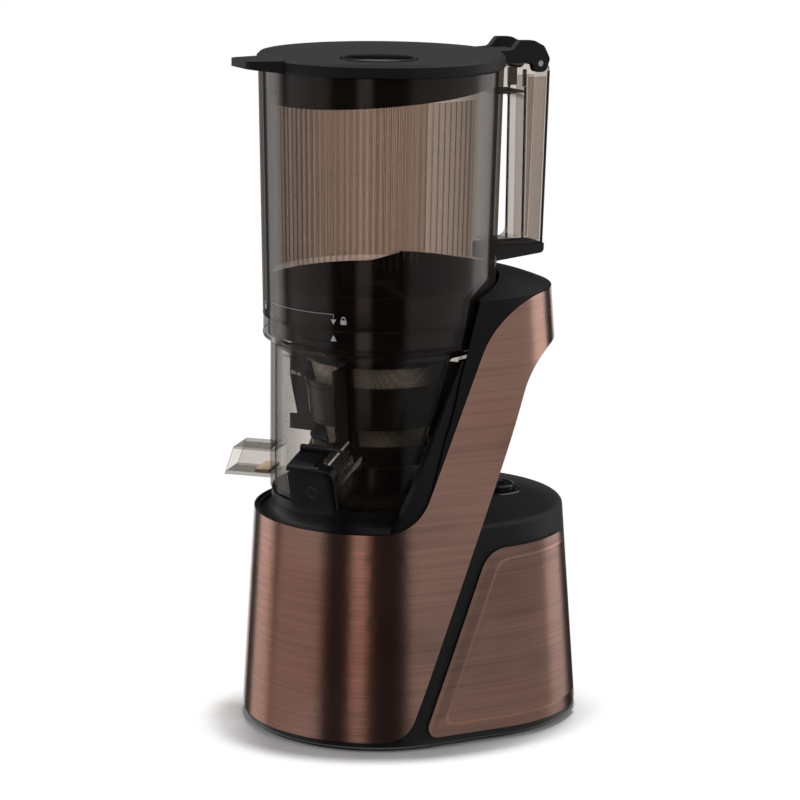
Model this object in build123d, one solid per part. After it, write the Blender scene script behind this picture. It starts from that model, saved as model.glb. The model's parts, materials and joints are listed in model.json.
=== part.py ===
from build123d import *
import math
import os

# Cold press juicer: a leaning copper-wrapped body that carries a juicing drum,
# a tall self-feeding hopper with a hinged lid, and a geared motor in its base.
# Millimetres. The drive axis is the Z axis, the front is -Y and Z = 0 is the table.

# ---------------------------------------------------------------- body form
FRONT_R = 91.0            # front circle of the footprint, centred on the drive axis
FRONT_DRAFT = 3.23        # degrees that the front leans in
REAR_EXTRA = 1.0          # the rear circle is this much larger
REAR_R = FRONT_R + REAR_EXTRA
REAR_DRAFT = 3.63
REAR_CENTRE_Y = 54.0      # centre of the rear circle at the table
REAR_CENTRE_LEAN = 1.29   # degrees that this centre moves forward with height
FORM_LOW_Z = -10.0        # the form is drawn once between these heights, then cut
FORM_ABOVE = 200.0        # above the rim

COPPER_T = 1.5            # wall of the copper skins
SKIN_GAP = 0.3            # between a copper skin and the moulding that it lies on
SEAT_GAP = 0.3            # between a loose piece and its seat
RUN_FIT = 0.05            # radial clearance of a shaft that turns in its seat
WALL = 2.5                # wall of the black mouldings
INNER = COPPER_T + SKIN_GAP       # outside of the mouldings under the skins
SKIRT_Z = 7.0             # lower edge of the copper
RIM_Z = 145.5             # upper edge of the copper at the front
FORM_TOP_Z = RIM_Z + FORM_ABOVE

ARM_FRONT_Y = -12.3       # where the arm's front edge line meets the rim
ARM_FRONT_LEAN = 66.3     # degrees above the table
ARM_REAR_Y = -21.2        # where the arm's rear edge line meets the skirt
ARM_REAR_LEAN = 67.8
HOOP_RISE = 113.5         # lower edge of the hoop behind the head, above the rim
HOOP_H = 35.0
HOOP_LOW_Z = RIM_Z + HOOP_RISE
HOOP_TOP_Z = HOOP_LOW_Z + HOOP_H
RIM_CORNER_R = 35.0
HEAD_CORNER_R = 60.0
HOOP_CORNER_R = 45.0
SKIRT_CORNER_R = 22.0

# ---------------------------------------------------------------- base
FOOT_H = 2.0
FOOT_R = 9.0
FOOT_INSET = 25.0         # foot centres from the edge of the form
PAN_INSET = 2.4
PAN_T = 2.6
PAN_TOP_Z = FOOT_H + PAN_T
SCREW_R = 1.5
SCREW_HEAD_R = 3.0
BOSS_R = 5.0
BOSS_H = 9.4
SLOT_L = 44.0             # cooling slots under the motor
SLOT_W = 3.5
SLOT_PITCH = 8.0
BOARD_LIFT = 7.4
BOARD_T = 1.6
BOARD_W = 72.0
BOARD_L = 40.0
DECK_STEP = 0.5           # soft-touch deck behind the column, above the rim
DECK_Z = RIM_Z + DECK_STEP
DECK_ROUND = 4.0
PANEL_GAP = 10.5          # black strip between the copper arm and a rear panel
PANEL_LOW_Z = 8.0
PANEL_BELOW = 16.0        # panel's top edge below the deck
PANEL_TOP_Z = DECK_Z - PANEL_BELOW
PANEL_TOP_R = 20.0
PANEL_LOW_R = 7.0
SPINE_INSET = 32.0        # black spine between the rear panels, from the form's side
SPINE_HALF = REAR_R - SPINE_INSET
SPINE_CORNER_R = 6.0
CABLE_Z = 24.0            # height of the cable gland
CABLE_R = 5.5
CORD_R = 3.4

# ---------------------------------------------------------------- drum
DRUM_SETBACK = 19.0       # drum wall inside the front of the body
DRUM_R = FRONT_R - DRUM_SETBACK
CLEAR_T = 3.0             # wall of the transparent mouldings
PLATFORM_DROP = 2.5       # platform below the copper rim
PLATFORM_Z = RIM_Z - PLATFORM_DROP
PEDESTAL_H = 15.0
PEDESTAL_Z = PLATFORM_Z + PEDESTAL_H
PEDESTAL_R = DRUM_R - 1.0
PEDESTAL_FLARE = 7.0
DRUM_LOW_Z = PEDESTAL_Z + SEAT_GAP
DRUM_H = 101.7
COLLAR_STEP = 4.8         # collar's wall outside the drum's
COLLAR_H = 17.6
COLLAR_R = DRUM_R + COLLAR_STEP
COLLAR_Z = DRUM_LOW_Z + DRUM_H
DRUM_TOP_Z = COLLAR_Z + COLLAR_H
LEDGE_RISE = 10.0
LEDGE_H = 4.0
LEDGE_Z = COLLAR_Z + LEDGE_RISE
LEDGE_R = DRUM_R - 0.2
LUG_COUNT = 4
LUG_ARC = 26.0
LEDGE_ARC = 34.0

OUTLET_ANGLE = 38.0       # juice outlet, from the front towards +X
OUTLET_TILT = 17.0        # degrees that it points down
OUTLET_LENGTH = 22.1      # nozzle's mouth from the drum's wall
OUTLET_REACH = DRUM_R + OUTLET_LENGTH
OUTLET_RISE = 19.4
OUTLET_Z = DRUM_LOW_Z + OUTLET_RISE
OUTLET_SIDE = 31.4        # outside of the square nozzle
OUTLET_CORNER_R = 7.5
OUTLET_T = 2.0
CAP_LIP = 1.3             # cap's edge outside the nozzle's
CAP_SIDE = OUTLET_SIDE + 2 * CAP_LIP
CAP_T = 4.5
CAP_CORNER_R = OUTLET_CORNER_R + 1.0
HOOD_W = 28.0
HOOD_CLEAR = 3.1          # between the cap's pin and the drum's wall
HOOD_LENGTH = OUTLET_LENGTH - HOOD_CLEAR
HOOD_T = 4.1
CAP_PIN_R = 1.0
CAP_EAR_W = 10.0
CAP_SEAL_T = 1.7
CAP_RING_R = 6.5          # shallow ring on the cap's face
CAP_RING_W = 1.2

SPOUT_ANGLE = -43.0       # residue spout, from the front towards -X
SPOUT_W = 28.0
SPOUT_H = 19.5
SPOUT_RISE = 3.2
SPOUT_LOW_Z = DRUM_LOW_Z + SPOUT_RISE
SPOUT_TOP_Z = SPOUT_LOW_Z + SPOUT_H
SPOUT_LENGTH = 25.5       # spout's top edge from the drum's wall
SPOUT_TOP_REACH = DRUM_R + SPOUT_LENGTH
SPOUT_LIP = 6.5           # its lower edge reaches further by this much
SPOUT_LOW_REACH = SPOUT_TOP_REACH + SPOUT_LIP
SPOUT_T = 2.0
PLUG_T = 2.4

# ---------------------------------------------------------------- hopper
HOPPER_LOW_Z = DRUM_TOP_Z + 0.4
HOPPER_H = 162.5
HOPPER_TOP_Z = HOPPER_LOW_Z + HOPPER_H
HOPPER_LOW_R = COLLAR_R + 0.2
HOPPER_FLARE = 3.3
HOPPER_TOP_R = HOPPER_LOW_R + HOPPER_FLARE
BAND_H = 21.5
BAND_TOP_Z = HOPPER_LOW_Z + BAND_H
BAND_LIP_H = 7.0          # raised lip at the back of the black band
BAND_LIP_ARC = 104.0
BAND_T = 2.4
WING_T = 6.0
WING_RISE = 19.0
WING_TOP_Z = HOPPER_LOW_Z + WING_RISE
WING_HUB_R = 12.0
POST_R = 7.0

# ---------------------------------------------------------------- column and head
COLUMN_FORWARD = 12.0     # how far the black column stands in front of the copper edge
COLUMN_T = 3.0
COLUMN_SOLID = 20.0       # the column is solid this far behind the copper's front edge
DRUM_BORE_R = DRUM_R + 1.5
HOPPER_BORE_R = HOPPER_LOW_R + 2.5
HEAD_BORE_Z = COLLAR_Z - 4.0
DOME_R = 191.0            # sphere of the head cap
DOME_RISE = 14.7
DOME_TOP_Z = HOOP_TOP_Z + DOME_RISE
DOME_Y = 47.5
DOME_T = 3.0
CAP_STRIP_Z = RIM_Z + 30.0
CAP_FORWARD = 28.0        # head cap's front end before the copper edge's line

# ---------------------------------------------------------------- power dial
DIAL_BACK = 37.0          # dial's axis behind the rear circle's centre
DIAL_Y = REAR_CENTRE_Y + DIAL_BACK
BEZEL_R = 18.5
BEZEL_SINK = 1.2
DIAL_R = 13.0
DIAL_H = 5.0
DIAL_SHAFT_R = 3.0
SWITCH_H = 15.0
SWITCH_SIDE = 20.0

# ---------------------------------------------------------------- drive
FAST_MODULE = 1.4
MOTOR_TEETH = 10
IDLER_TEETH = 50
SLOW_MODULE = 1.8
PINION_TEETH = 12
OUTPUT_TEETH = 48
OUTPUT_PITCH_R = SLOW_MODULE * OUTPUT_TEETH / 2
IDLER_PITCH_R = FAST_MODULE * IDLER_TEETH / 2
IDLER_Y = SLOW_MODULE * (OUTPUT_TEETH + PINION_TEETH) / 2
MOTOR_Y = IDLER_Y + FAST_MODULE * (IDLER_TEETH + MOTOR_TEETH) / 2
MOTOR_ROOM = 15.0         # motor can inside the rear of the body
MOTOR_R = REAR_CENTRE_Y + REAR_R - MOTOR_Y - MOTOR_ROOM
MOTOR_T = 2.0
MOTOR_LOW_Z = 12.0
MOTOR_SHAFT_R = 3.0
AIR_GAP = 1.0             # between rotor and stator
STATOR_T = 10.0
CASE_BELOW = 17.0         # gearbox cover's seat below the platform
CASE_H = 34.0
CASE_TOP_Z = PLATFORM_Z - CASE_BELOW
CASE_Z = CASE_TOP_Z - CASE_H
CASE_T = 3.0
CASE_ROOM = 6.8           # case wall outside a gear's pitch circle
CASE_FLOOR_Z = CASE_Z + CASE_T
GEAR_LIFT = 3.0
FAST_Z = CASE_FLOOR_Z + GEAR_LIFT
FAST_W = 8.0
SLOW_W = 10.0
SLOW_Z = FAST_Z + FAST_W + 6.0
IDLER_SHAFT_R = 3.0
JOURNAL_R = 8.0
HEX_FLATS = 13.0          # across the flats of the drive shaft's head
BEARING_OD = 26.0
BEARING_H = 7.0
BEARING_LAND = 2.2
SHAFT_HOLE_R = JOURNAL_R + 3.0
SEAL_SEAT_R = SHAFT_HOLE_R + 10.0
SEAL_SEAT_H = 4.0
CHIMNEY_R = JOURNAL_R + 5.0
CHIMNEY_H = 13.7
CHIMNEY_TOP_Z = DRUM_LOW_Z + CHIMNEY_H
HEX_LENGTH = 26.0
HEX_TOP_Z = CHIMNEY_TOP_Z + HEX_LENGTH

# ---------------------------------------------------------------- strainer, brush and auger
GEAR_MODULE = 1.5
SUN_TEETH = 22
PLANET_TEETH = 10
RING_TEETH = SUN_TEETH + 2 * PLANET_TEETH
PLANET_Y = GEAR_MODULE * (SUN_TEETH + PLANET_TEETH) / 2
RING_OUT_R = GEAR_MODULE * RING_TEETH / 2 + 5.0
PLANET_PIN_R = 2.0
GEAR_Z = DRUM_LOW_Z + CLEAR_T + SEAT_GAP
GEAR_H = 6.5
MESH_LIFT = 12.4
MESH_H = 84.0
MESH_Z0 = GEAR_Z + MESH_LIFT
MESH_Z1 = MESH_Z0 + MESH_H
MESH_SETBACK = 24.3       # strainer's top inside the drum's wall
MESH_TOP_R = DRUM_R - MESH_SETBACK
MESH_LOW_R = 29.3
MESH_T = 0.8
FLANGE_T = 3.0
FLANGE_REACH = 6.0
BRUSH_GAP = 2.0
BRUSH_T = 2.5
BRUSH_RINGS = (26.0, 58.0)        # above the strainer's foot
BRUSH_RING_H = 5.0
BRUSH_RIBS = 4
BRUSH_RIB_TURN = 37.0
SCREW_GAP = 0.8
SCREW_CORE_R = 21.0
SCREW_STARTS = 2
SCREW_PITCH = 62.0
SCREW_FLIGHT_T = 3.2
THROAT_R = MESH_TOP_R - 0.7
THROAT_Z = MESH_Z1 + 10.0

# ---------------------------------------------------------------- handle and hinge
HANDLE_W = 25.0
HANDLE_GAP = 21.7         # room for the fingers
HANDLE_LOW_T = 16.5       # grip's thickness at its foot and at its top
HANDLE_TOP_T = 19.8
HANDLE_IN_Y = HOPPER_TOP_R + HANDLE_GAP
HANDLE_LOW_Y = HANDLE_IN_Y + HANDLE_LOW_T
HANDLE_TOP_Y = HANDLE_IN_Y + HANDLE_TOP_T
HANDLE_LOW_Z = DOME_TOP_Z - 0.9
HANDLE_SLOPE = 0.1
INSERT_H = 10.2
INSERT_TOP_Z = HANDLE_LOW_Z + INSERT_H
HANDLE_GAP_LOW_Z = INSERT_TOP_Z + 3.0
HANDLE_GAP_TOP_Z = HOPPER_TOP_Z - 20.5
HINGE_BACK = 8.0
HINGE_Y = HANDLE_IN_Y + HINGE_BACK
HINGE_Z = HOPPER_TOP_Z - 0.5
KNUCKLE_R = 5.5
HINGE_PIN_R = 2.0
EAR_IN_X = HANDLE_W / 2 + SEAT_GAP
EAR_W = 5.2

# ---------------------------------------------------------------- lid
LID_R = HOPPER_TOP_R + 1.0
LID_H = 8.7
LID_LOW_Z = HOPPER_TOP_Z + SEAT_GAP
LID_TOP_Z = LID_LOW_Z + LID_H
LID_T = 2.6
LID_DISH = 2.0            # lid's middle below its rim
TAB_LENGTH = 20.7
TAB_REACH = LID_R + TAB_LENGTH
TAB_W = 30.0
SKIRT_SETBACK = 7.3
SKIRT_R = HOPPER_TOP_R - SKIRT_SETBACK
SKIRT_T = 2.0
SKIRT_FRONT_H = 22.8
SKIRT_BACK_H = 9.8
RECESS_L = 46.0
RECESS_W = 20.0
RECESS_D = 5.0
RECESS_AT = (12.7, -8.1)
RECESS_TURN = 62.0

BIG = 400.0


# ---------------------------------------------------------------- helpers
def tan(angle):
    return math.tan(math.radians(angle))


def sin(angle):
    return math.sin(math.radians(angle))


def cos(angle):
    return math.cos(math.radians(angle))


def polar(radius, angle):
    """A point at an angle from the front (-Y), positive towards +X."""
    return (radius * sin(angle), -radius * cos(angle))


def tube(outer, inner, low, high, at=(0, 0)):
    ring = Circle(outer) - Circle(inner) if inner else Circle(outer)
    return Pos(at[0], at[1], low) * extrude(ring, high - low)


def cylinder(radius, low, high, at=(0, 0)):
    return tube(radius, 0, low, high, at)


def block(x, y, z):
    """A box from three (low, high) pairs."""
    size = [pair[1] - pair[0] for pair in (x, y, z)]
    middle = [(pair[0] + pair[1]) / 2 for pair in (x, y, z)]
    return Pos(*middle) * Box(*size)


def revolved(points):
    """Turn a closed outline of (radius, height) points round the Z axis."""
    return revolve(Plane.XZ * make_face(Polyline(*points, close=True)), Axis.Z)


def rounded_face(corners):
    """A face from (x, y, radius) corners, each one rounded by its own radius."""
    edges = []
    joints = []
    count = len(corners)
    for i in range(count):
        here = Vector(corners[i][0], corners[i][1])
        before = Vector(*corners[i - 1][:2])
        after = Vector(*corners[(i + 1) % count][:2])
        radius = corners[i][2]
        if radius == 0:
            joints.append((here, here))
            continue
        back = (before - here).normalized()
        on = (after - here).normalized()
        half = math.radians(back.get_angle(on)) / 2
        reach = radius / math.tan(half)
        start = here + back * reach
        end = here + on * reach
        inward = (back + on).normalized()
        middle = here + inward * (radius / math.sin(half) - radius)
        edges.append(ThreePointArc(start, middle, end))
        joints.append((start, end))
    for i in range(count):
        start = joints[i - 1][1]
        end = joints[i][0]
        if (end - start).length > 1e-6:
            edges.append(Line(start, end))
    return make_face(edges)


def side_prism(corners):
    """Extrude a side outline of (Y, Z, radius) corners right across the body."""
    return extrude(Plane.YZ * rounded_face(corners), BIG / 2, both=True)


def plan_face(z, inset):
    """The body's plan at a height: two circles and their common tangents."""
    front = FRONT_R - z * tan(FRONT_DRAFT) - inset
    rear = REAR_R - z * tan(REAR_DRAFT) - inset
    centre = REAR_CENTRE_Y - z * tan(REAR_CENTRE_LEAN)
    lean = math.asin((front - rear) / centre)
    nx = math.cos(lean)
    ny = math.sin(lean)
    front_right = (front * nx, front * ny)
    front_left = (-front * nx, front * ny)
    rear_right = (rear * nx, centre + rear * ny)
    rear_left = (-rear * nx, centre + rear * ny)
    edges = [
        ThreePointArc(front_left, (0, -front), front_right),
        Line(front_right, rear_right),
        ThreePointArc(rear_right, (0, centre + rear), rear_left),
        Line(rear_left, front_left),
    ]
    return Pos(0, 0, z) * make_face(edges)


def form(inset, low, high):
    """The drafted body form between two heights."""
    whole = loft([plan_face(FORM_LOW_Z, inset), plan_face(FORM_TOP_Z, inset)], ruled=True)
    return whole & block((-BIG, BIG), (-BIG, BIG), (low, high))


def front_line(z, forward=0.0):
    return ARM_FRONT_Y + (z - RIM_Z) / tan(ARM_FRONT_LEAN) - forward / sin(ARM_FRONT_LEAN)


def rear_line(z, back=0.0):
    return ARM_REAR_Y + (z - SKIRT_Z) / tan(ARM_REAR_LEAN) + back / sin(ARM_REAR_LEAN)


def behind_arm(back, low, high):
    """Everything behind the arm's rear edge line, moved back by a distance."""
    return side_prism([
        (rear_line(low, back), low, 0),
        (BIG, low, 0),
        (BIG, high, 0),
        (rear_line(high, back), high, 0),
    ])


def before_arm(back, low, high):
    return side_prism([
        (-BIG, low, 0),
        (rear_line(low, back), low, 0),
        (rear_line(high, back), high, 0),
        (-BIG, high, 0),
    ])


def basket_r(z):
    """Outside of the strainer mesh at a height."""
    return MESH_TOP_R - (MESH_Z1 - z) * (MESH_TOP_R - MESH_LOW_R) / MESH_H


def gear_face(teeth, module, phase, addendum=0.95, dedendum=1.25, backlash=0.16, steps=2):
    """An involute gear outline with one tooth centred on the phase angle."""
    pitch_r = module * teeth / 2
    base_r = pitch_r * cos(20)
    tip_r = pitch_r + addendum * module
    root_r = pitch_r - dedendum * module
    pitch_half = math.pi / (2 * teeth) - backlash * module / (2 * pitch_r)
    involute = tan(20) - math.radians(20)
    flank = []
    for i in range(steps):
        radius = root_r + (tip_r - root_r) * i / (steps - 1)
        if radius > base_r:
            pressure = math.acos(base_r / radius)
            half = pitch_half + involute - (math.tan(pressure) - pressure)
        else:
            half = pitch_half + involute
        flank.append((radius, half))
    points = []
    for tooth in range(teeth):
        middle = math.radians(phase) + 2 * math.pi * tooth / teeth
        for radius, half in flank:
            points.append((radius * math.cos(middle - half), radius * math.sin(middle - half)))
        for radius, half in reversed(flank):
            points.append((radius * math.cos(middle + half), radius * math.sin(middle + half)))
    return make_face(Polyline(*points, close=True))


def sector(outer, inner, low, high, middle, arc):
    """Part of a ring: an arc of some degrees about an angle from the front."""
    ring = tube(outer, inner, low, high)
    start = middle - arc / 2 - 90
    far = outer * 3
    wedge = Polyline((0, 0), (far * cos(start), far * sin(start)),
                     (far * cos(start + arc / 2), far * sin(start + arc / 2)),
                     (far * cos(start + arc), far * sin(start + arc)), close=True)
    return ring & (Pos(0, 0, low) * extrude(make_face(wedge), high - low))


parts = {}


def keep(name, *solids):
    """Store one node's solids."""
    shapes = []
    for solid in solids:
        shapes.extend(solid.solids())
    parts[name] = shapes


# ---------------------------------------------------------------- copper skins
def copper_front_cover():
    """The wrap round the front, its two leaning arms and the hoop behind the head."""
    skin = form(0, 0, FORM_TOP_Z) - form(COPPER_T, 0, FORM_TOP_Z)
    outline = [
        (-BIG, SKIRT_Z, 0),
        (rear_line(SKIRT_Z), SKIRT_Z, SKIRT_CORNER_R),
        (rear_line(HOOP_LOW_Z), HOOP_LOW_Z, HOOP_CORNER_R),
        (BIG, HOOP_LOW_Z, 0),
        (BIG, HOOP_TOP_Z, 0),
        (front_line(HOOP_TOP_Z), HOOP_TOP_Z, HEAD_CORNER_R),
        (front_line(RIM_Z), RIM_Z, RIM_CORNER_R),
        (-BIG, RIM_Z, 0),
    ]
    return skin & side_prism(outline)


def rear_panel(side):
    skin = form(0, 0, DECK_Z) - form(COPPER_T, 0, DECK_Z)
    outline = [
        (rear_line(PANEL_LOW_Z, PANEL_GAP), PANEL_LOW_Z, PANEL_LOW_R),
        (BIG, PANEL_LOW_Z, 0),
        (BIG, PANEL_TOP_Z, 0),
        (rear_line(PANEL_TOP_Z, PANEL_GAP), PANEL_TOP_Z, PANEL_TOP_R),
    ]
    back_view = [
        (SPINE_HALF, PANEL_LOW_Z, SPINE_CORNER_R),
        (BIG, PANEL_LOW_Z, 0),
        (BIG, PANEL_TOP_Z, 0),
        (SPINE_HALF, PANEL_TOP_Z, SPINE_CORNER_R),
    ]
    panel = skin & side_prism(outline)
    panel = panel & extrude(Plane.XZ * rounded_face(back_view), BIG, both=True)
    return panel if side > 0 else mirror(panel, Plane.YZ)


# ---------------------------------------------------------------- black mouldings
def column_frame():
    """Front chassis, drum platform with its pedestal, and the leaning column."""
    top = RIM_Z - 1.0
    chassis = form(INNER, SKIRT_Z, top) - form(INNER + WALL, SKIRT_Z - 1, PLATFORM_Z - WALL)
    chassis = chassis & before_arm(-3.0, SKIRT_Z, top)
    chassis -= form(INNER + WALL, PLATFORM_Z, top + 1) & before_arm(-6.0, PLATFORM_Z, top + 1)
    flare = [(PEDESTAL_R - 1, PLATFORM_Z - WALL),
             (PEDESTAL_R + PEDESTAL_FLARE, PLATFORM_Z - WALL)]
    for step in range(6):
        angle = 90 * step / 5
        flare.append((PEDESTAL_R + PEDESTAL_FLARE * (1 - sin(angle)),
                      PLATFORM_Z + PEDESTAL_FLARE * (1 - cos(angle))))
    flare.append((PEDESTAL_R - 1, PLATFORM_Z + PEDESTAL_FLARE))
    pedestal = tube(PEDESTAL_R, SHAFT_HOLE_R, PLATFORM_Z - WALL, PEDESTAL_Z)
    pedestal -= cylinder(SEAL_SEAT_R, PEDESTAL_Z - SEAL_SEAT_H, PEDESTAL_Z)
    pedestal -= tube(PEDESTAL_R - WALL, SEAL_SEAT_R + WALL, 0, PEDESTAL_Z - WALL)
    pedestal += revolved(flare) & before_arm(-3.0, SKIRT_Z, PEDESTAL_Z)

    outline = [
        (front_line(RIM_Z, COLUMN_FORWARD), PLATFORM_Z - WALL, 0),
        (rear_line(PLATFORM_Z - WALL, -3.0), PLATFORM_Z - WALL, 0),
        (rear_line(HOOP_LOW_Z, -3.0), HOOP_LOW_Z, HOOP_CORNER_R),
        (BIG, HOOP_LOW_Z, 0),
        (BIG, BIG, 0),
        (front_line(BIG, COLUMN_FORWARD), BIG, 0),
        (front_line(RIM_Z, COLUMN_FORWARD), RIM_Z, RIM_CORNER_R / 2),
    ]
    column = form(INNER, PLATFORM_Z - WALL, FORM_TOP_Z) & side_prism(outline)
    inner_dome = DOME_R - DOME_T - SKIN_GAP
    column = column & (Pos(0, DOME_Y, DOME_TOP_Z - DOME_R) * Sphere(inner_dome))
    hollow = [
        (front_line(PLATFORM_Z, -COLUMN_SOLID), PLATFORM_Z, 0),
        (BIG, PLATFORM_Z, 0),
        (BIG, HOOP_TOP_Z - COLUMN_T, 0),
        (front_line(HOOP_TOP_Z - COLUMN_T, -COLUMN_SOLID - 5), HOOP_TOP_Z - COLUMN_T, 30),
    ]
    room = form(INNER + COLUMN_T, PLATFORM_Z, FORM_TOP_Z) & side_prism(hollow)
    room -= cylinder(DRUM_BORE_R + COLUMN_T, 0, HEAD_BORE_Z - COLUMN_T)
    room -= cylinder(HOPPER_BORE_R + COLUMN_T, HEAD_BORE_Z - COLUMN_T, BIG)
    column -= room
    column -= cylinder(DRUM_BORE_R, PLATFORM_Z, BIG)
    column -= cylinder(PEDESTAL_R - WALL, 0, PLATFORM_Z + 1)
    chassis -= cylinder(PEDESTAL_R - WALL, PLATFORM_Z - WALL - 1, PLATFORM_Z + 1)
    column -= cylinder(HOPPER_BORE_R, HEAD_BORE_Z, BIG)
    return chassis + pedestal + column


def column_back_cover():
    """The black plate that closes the column between the two arms."""
    outline = [
        (rear_line(DECK_Z + 0.5, -5.5), DECK_Z + 0.5, 0),
        (rear_line(DECK_Z + 0.5, -3.0), DECK_Z + 0.5, 0),
        (rear_line(HOOP_LOW_Z - 12, -3.0), HOOP_LOW_Z - 12, 0),
        (rear_line(HOOP_LOW_Z - 12, -5.5), HOOP_LOW_Z - 12, 0),
    ]
    plate = form(INNER + COLUMN_T + SKIN_GAP, DECK_Z, HOOP_LOW_Z) & side_prism(outline)
    return plate - cylinder(DRUM_BORE_R + COLUMN_T + SKIN_GAP, 0, HEAD_BORE_Z)


def head_cap():
    """The textured dome on the head, with its strips down the arms' front edges."""
    dome = Pos(0, DOME_Y, DOME_TOP_Z - DOME_R) * Sphere(DOME_R)
    inner_dome = Pos(0, DOME_Y, DOME_TOP_Z - DOME_R) * Sphere(DOME_R - DOME_T)
    outline = [
        (front_line(CAP_STRIP_Z, SKIN_GAP), CAP_STRIP_Z, 0),
        (front_line(HOOP_TOP_Z + SKIN_GAP, SKIN_GAP), HOOP_TOP_Z + SKIN_GAP, HEAD_CORNER_R),
        (BIG, HOOP_TOP_Z + SKIN_GAP, 0),
        (BIG, BIG, 0),
        (front_line(BIG, CAP_FORWARD), BIG, 0),
    ]
    body = form(SKIN_GAP, RIM_Z, FORM_TOP_Z) & dome & side_prism(outline)
    core = form(INNER - SKIN_GAP / 2, RIM_Z - 5, FORM_TOP_Z) & inner_dome
    return body - core - cylinder(HOPPER_BORE_R, 0, BIG)


def rear_housing():
    """The soft-touch rear moulding: side walls, back spine and the deck."""
    outside = form(INNER, SKIRT_Z, DECK_Z)
    outside = fillet(outside.faces().sort_by(Axis.Z)[-1].edges(), DECK_ROUND)
    shell = outside - form(INNER + WALL, SKIRT_Z - 1, DECK_Z - WALL)
    shell = shell & behind_arm(-2.7, SKIRT_Z, DECK_Z + 1)
    shell -= cylinder(PEDESTAL_R + SKIN_GAP, DECK_Z - 10, DECK_Z + 1)
    shell -= cylinder(BEZEL_R, DECK_Z - BEZEL_SINK, DECK_Z + 1, at=(0, DIAL_Y))
    shell -= cylinder(DIAL_SHAFT_R + 1.0, DECK_Z - 10, DECK_Z + 1, at=(0, DIAL_Y))
    shell -= Pos(0, cable_y(), CABLE_Z) * Rot(X=90) * Cylinder(CABLE_R, 40)
    return shell


def cable_y():
    """The outside of the rear moulding at the gland's height."""
    centre = REAR_CENTRE_Y - CABLE_Z * tan(REAR_CENTRE_LEAN)
    return centre + REAR_R - CABLE_Z * tan(REAR_DRAFT) - INNER


def base_pan():
    low = form(PAN_INSET, FOOT_H, SKIRT_Z - SKIN_GAP)
    low = chamfer(low.faces().sort_by(Axis.Z)[0].edges(), 1.2)
    pan = low - form(PAN_INSET + WALL, FOOT_H + PAN_T, SKIRT_Z + 1)
    for row in range(-3, 4):
        slot = SlotOverall(SLOT_L, SLOT_W)
        pan -= Pos(0, MOTOR_Y + SLOT_PITCH * row, 0) * extrude(slot, PAN_TOP_Z + 1)
    for place in screw_places():
        pan += cylinder(BOSS_R, PAN_TOP_Z - 0.5, PAN_TOP_Z + BOSS_H, at=place)
        pan -= cylinder(SCREW_R + 0.1, 0, PAN_TOP_Z + BOSS_H, at=place)
        pan -= cylinder(SCREW_HEAD_R + 0.3, 0, FOOT_H + 1.5, at=place)
    for place in board_posts():
        pan += tube(3.0, 1.0, PAN_TOP_Z - 0.5, PAN_TOP_Z + BOARD_LIFT, at=place)
    return pan


def foot_places():
    front = FRONT_R - FOOT_INSET
    rear = REAR_R - FOOT_INSET
    return [polar(front, -45), polar(front, 45),
            (-rear - 7, REAR_CENTRE_Y - 6), (rear + 7, REAR_CENTRE_Y - 6),
            (-rear * sin(35), REAR_CENTRE_Y + rear * cos(35)),
            (rear * sin(35), REAR_CENTRE_Y + rear * cos(35))]


def screw_places():
    front = FRONT_R - 28
    rear = REAR_R - 26
    return [polar(front, -55), polar(front, 55),
            (-rear, REAR_CENTRE_Y + 26), (rear, REAR_CENTRE_Y + 26)]


def board_front():
    """Front edge of the control board."""
    return -(FRONT_R - 17)


def board_posts():
    x = BOARD_W / 2 - 6
    low = board_front() + 6
    high = board_front() + BOARD_L - 6
    return [(-x, low), (x, low), (-x, high), (x, high)]


def leg_places():
    """Legs of the gearbox, just inside its outline."""
    x = OUTPUT_PITCH_R - 3.2
    return [(-x, -22), (x, -22), (-x, 22), (x, 22)]


def rubber_feet():
    return [cylinder(FOOT_R, 0, FOOT_H, at=place) for place in foot_places()]


def base_screws():
    screws = []
    for place in screw_places():
        head = cylinder(SCREW_HEAD_R, FOOT_H + 0.2, FOOT_H + 1.5, at=place)
        screws.append(head + cylinder(SCREW_R, FOOT_H + 1.4, PAN_TOP_Z + BOSS_H - 0.5, at=place))
    return screws


def cable_gland():
    """A rubber bush in the back wall, where the mains lead leaves."""
    at = Pos(0, cable_y(), CABLE_Z) * Rot(X=90)
    neck = at * Cylinder(CABLE_R - 0.2, 9)
    flange = at * Cylinder(CABLE_R + 2.5, 6) - form(INNER - SEAT_GAP, FORM_LOW_Z, DECK_Z)
    return neck + flange - at * Cylinder(CORD_R, 30)


# ---------------------------------------------------------------- power dial
def dial_bezel():
    ring = tube(BEZEL_R - 0.2, DIAL_R + 1.2, DECK_Z - BEZEL_SINK, DECK_Z + 1.0, at=(0, DIAL_Y))
    return fillet(ring.edges().group_by(Axis.Z)[-1], 0.8)


def power_dial():
    knob = cylinder(DIAL_R, DECK_Z - 0.9, DECK_Z + DIAL_H, at=(0, DIAL_Y))
    knob = fillet(knob.edges().group_by(Axis.Z)[-1], 1.5)
    scoop = Pos(0, DIAL_Y, DECK_Z + DIAL_H + 21) * Sphere(22.5)
    knob -= scoop
    bar = Pos(0, DIAL_Y, DECK_Z) * Box(4.0, DIAL_R * 1.7, DIAL_H * 2)
    bar = bar & cylinder(DIAL_R - 1.5, DECK_Z, DECK_Z + DIAL_H, at=(0, DIAL_Y))
    shaft = cylinder(DIAL_SHAFT_R, DECK_Z - SWITCH_H + 2, DECK_Z, at=(0, DIAL_Y))
    return knob + bar + shaft


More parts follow.
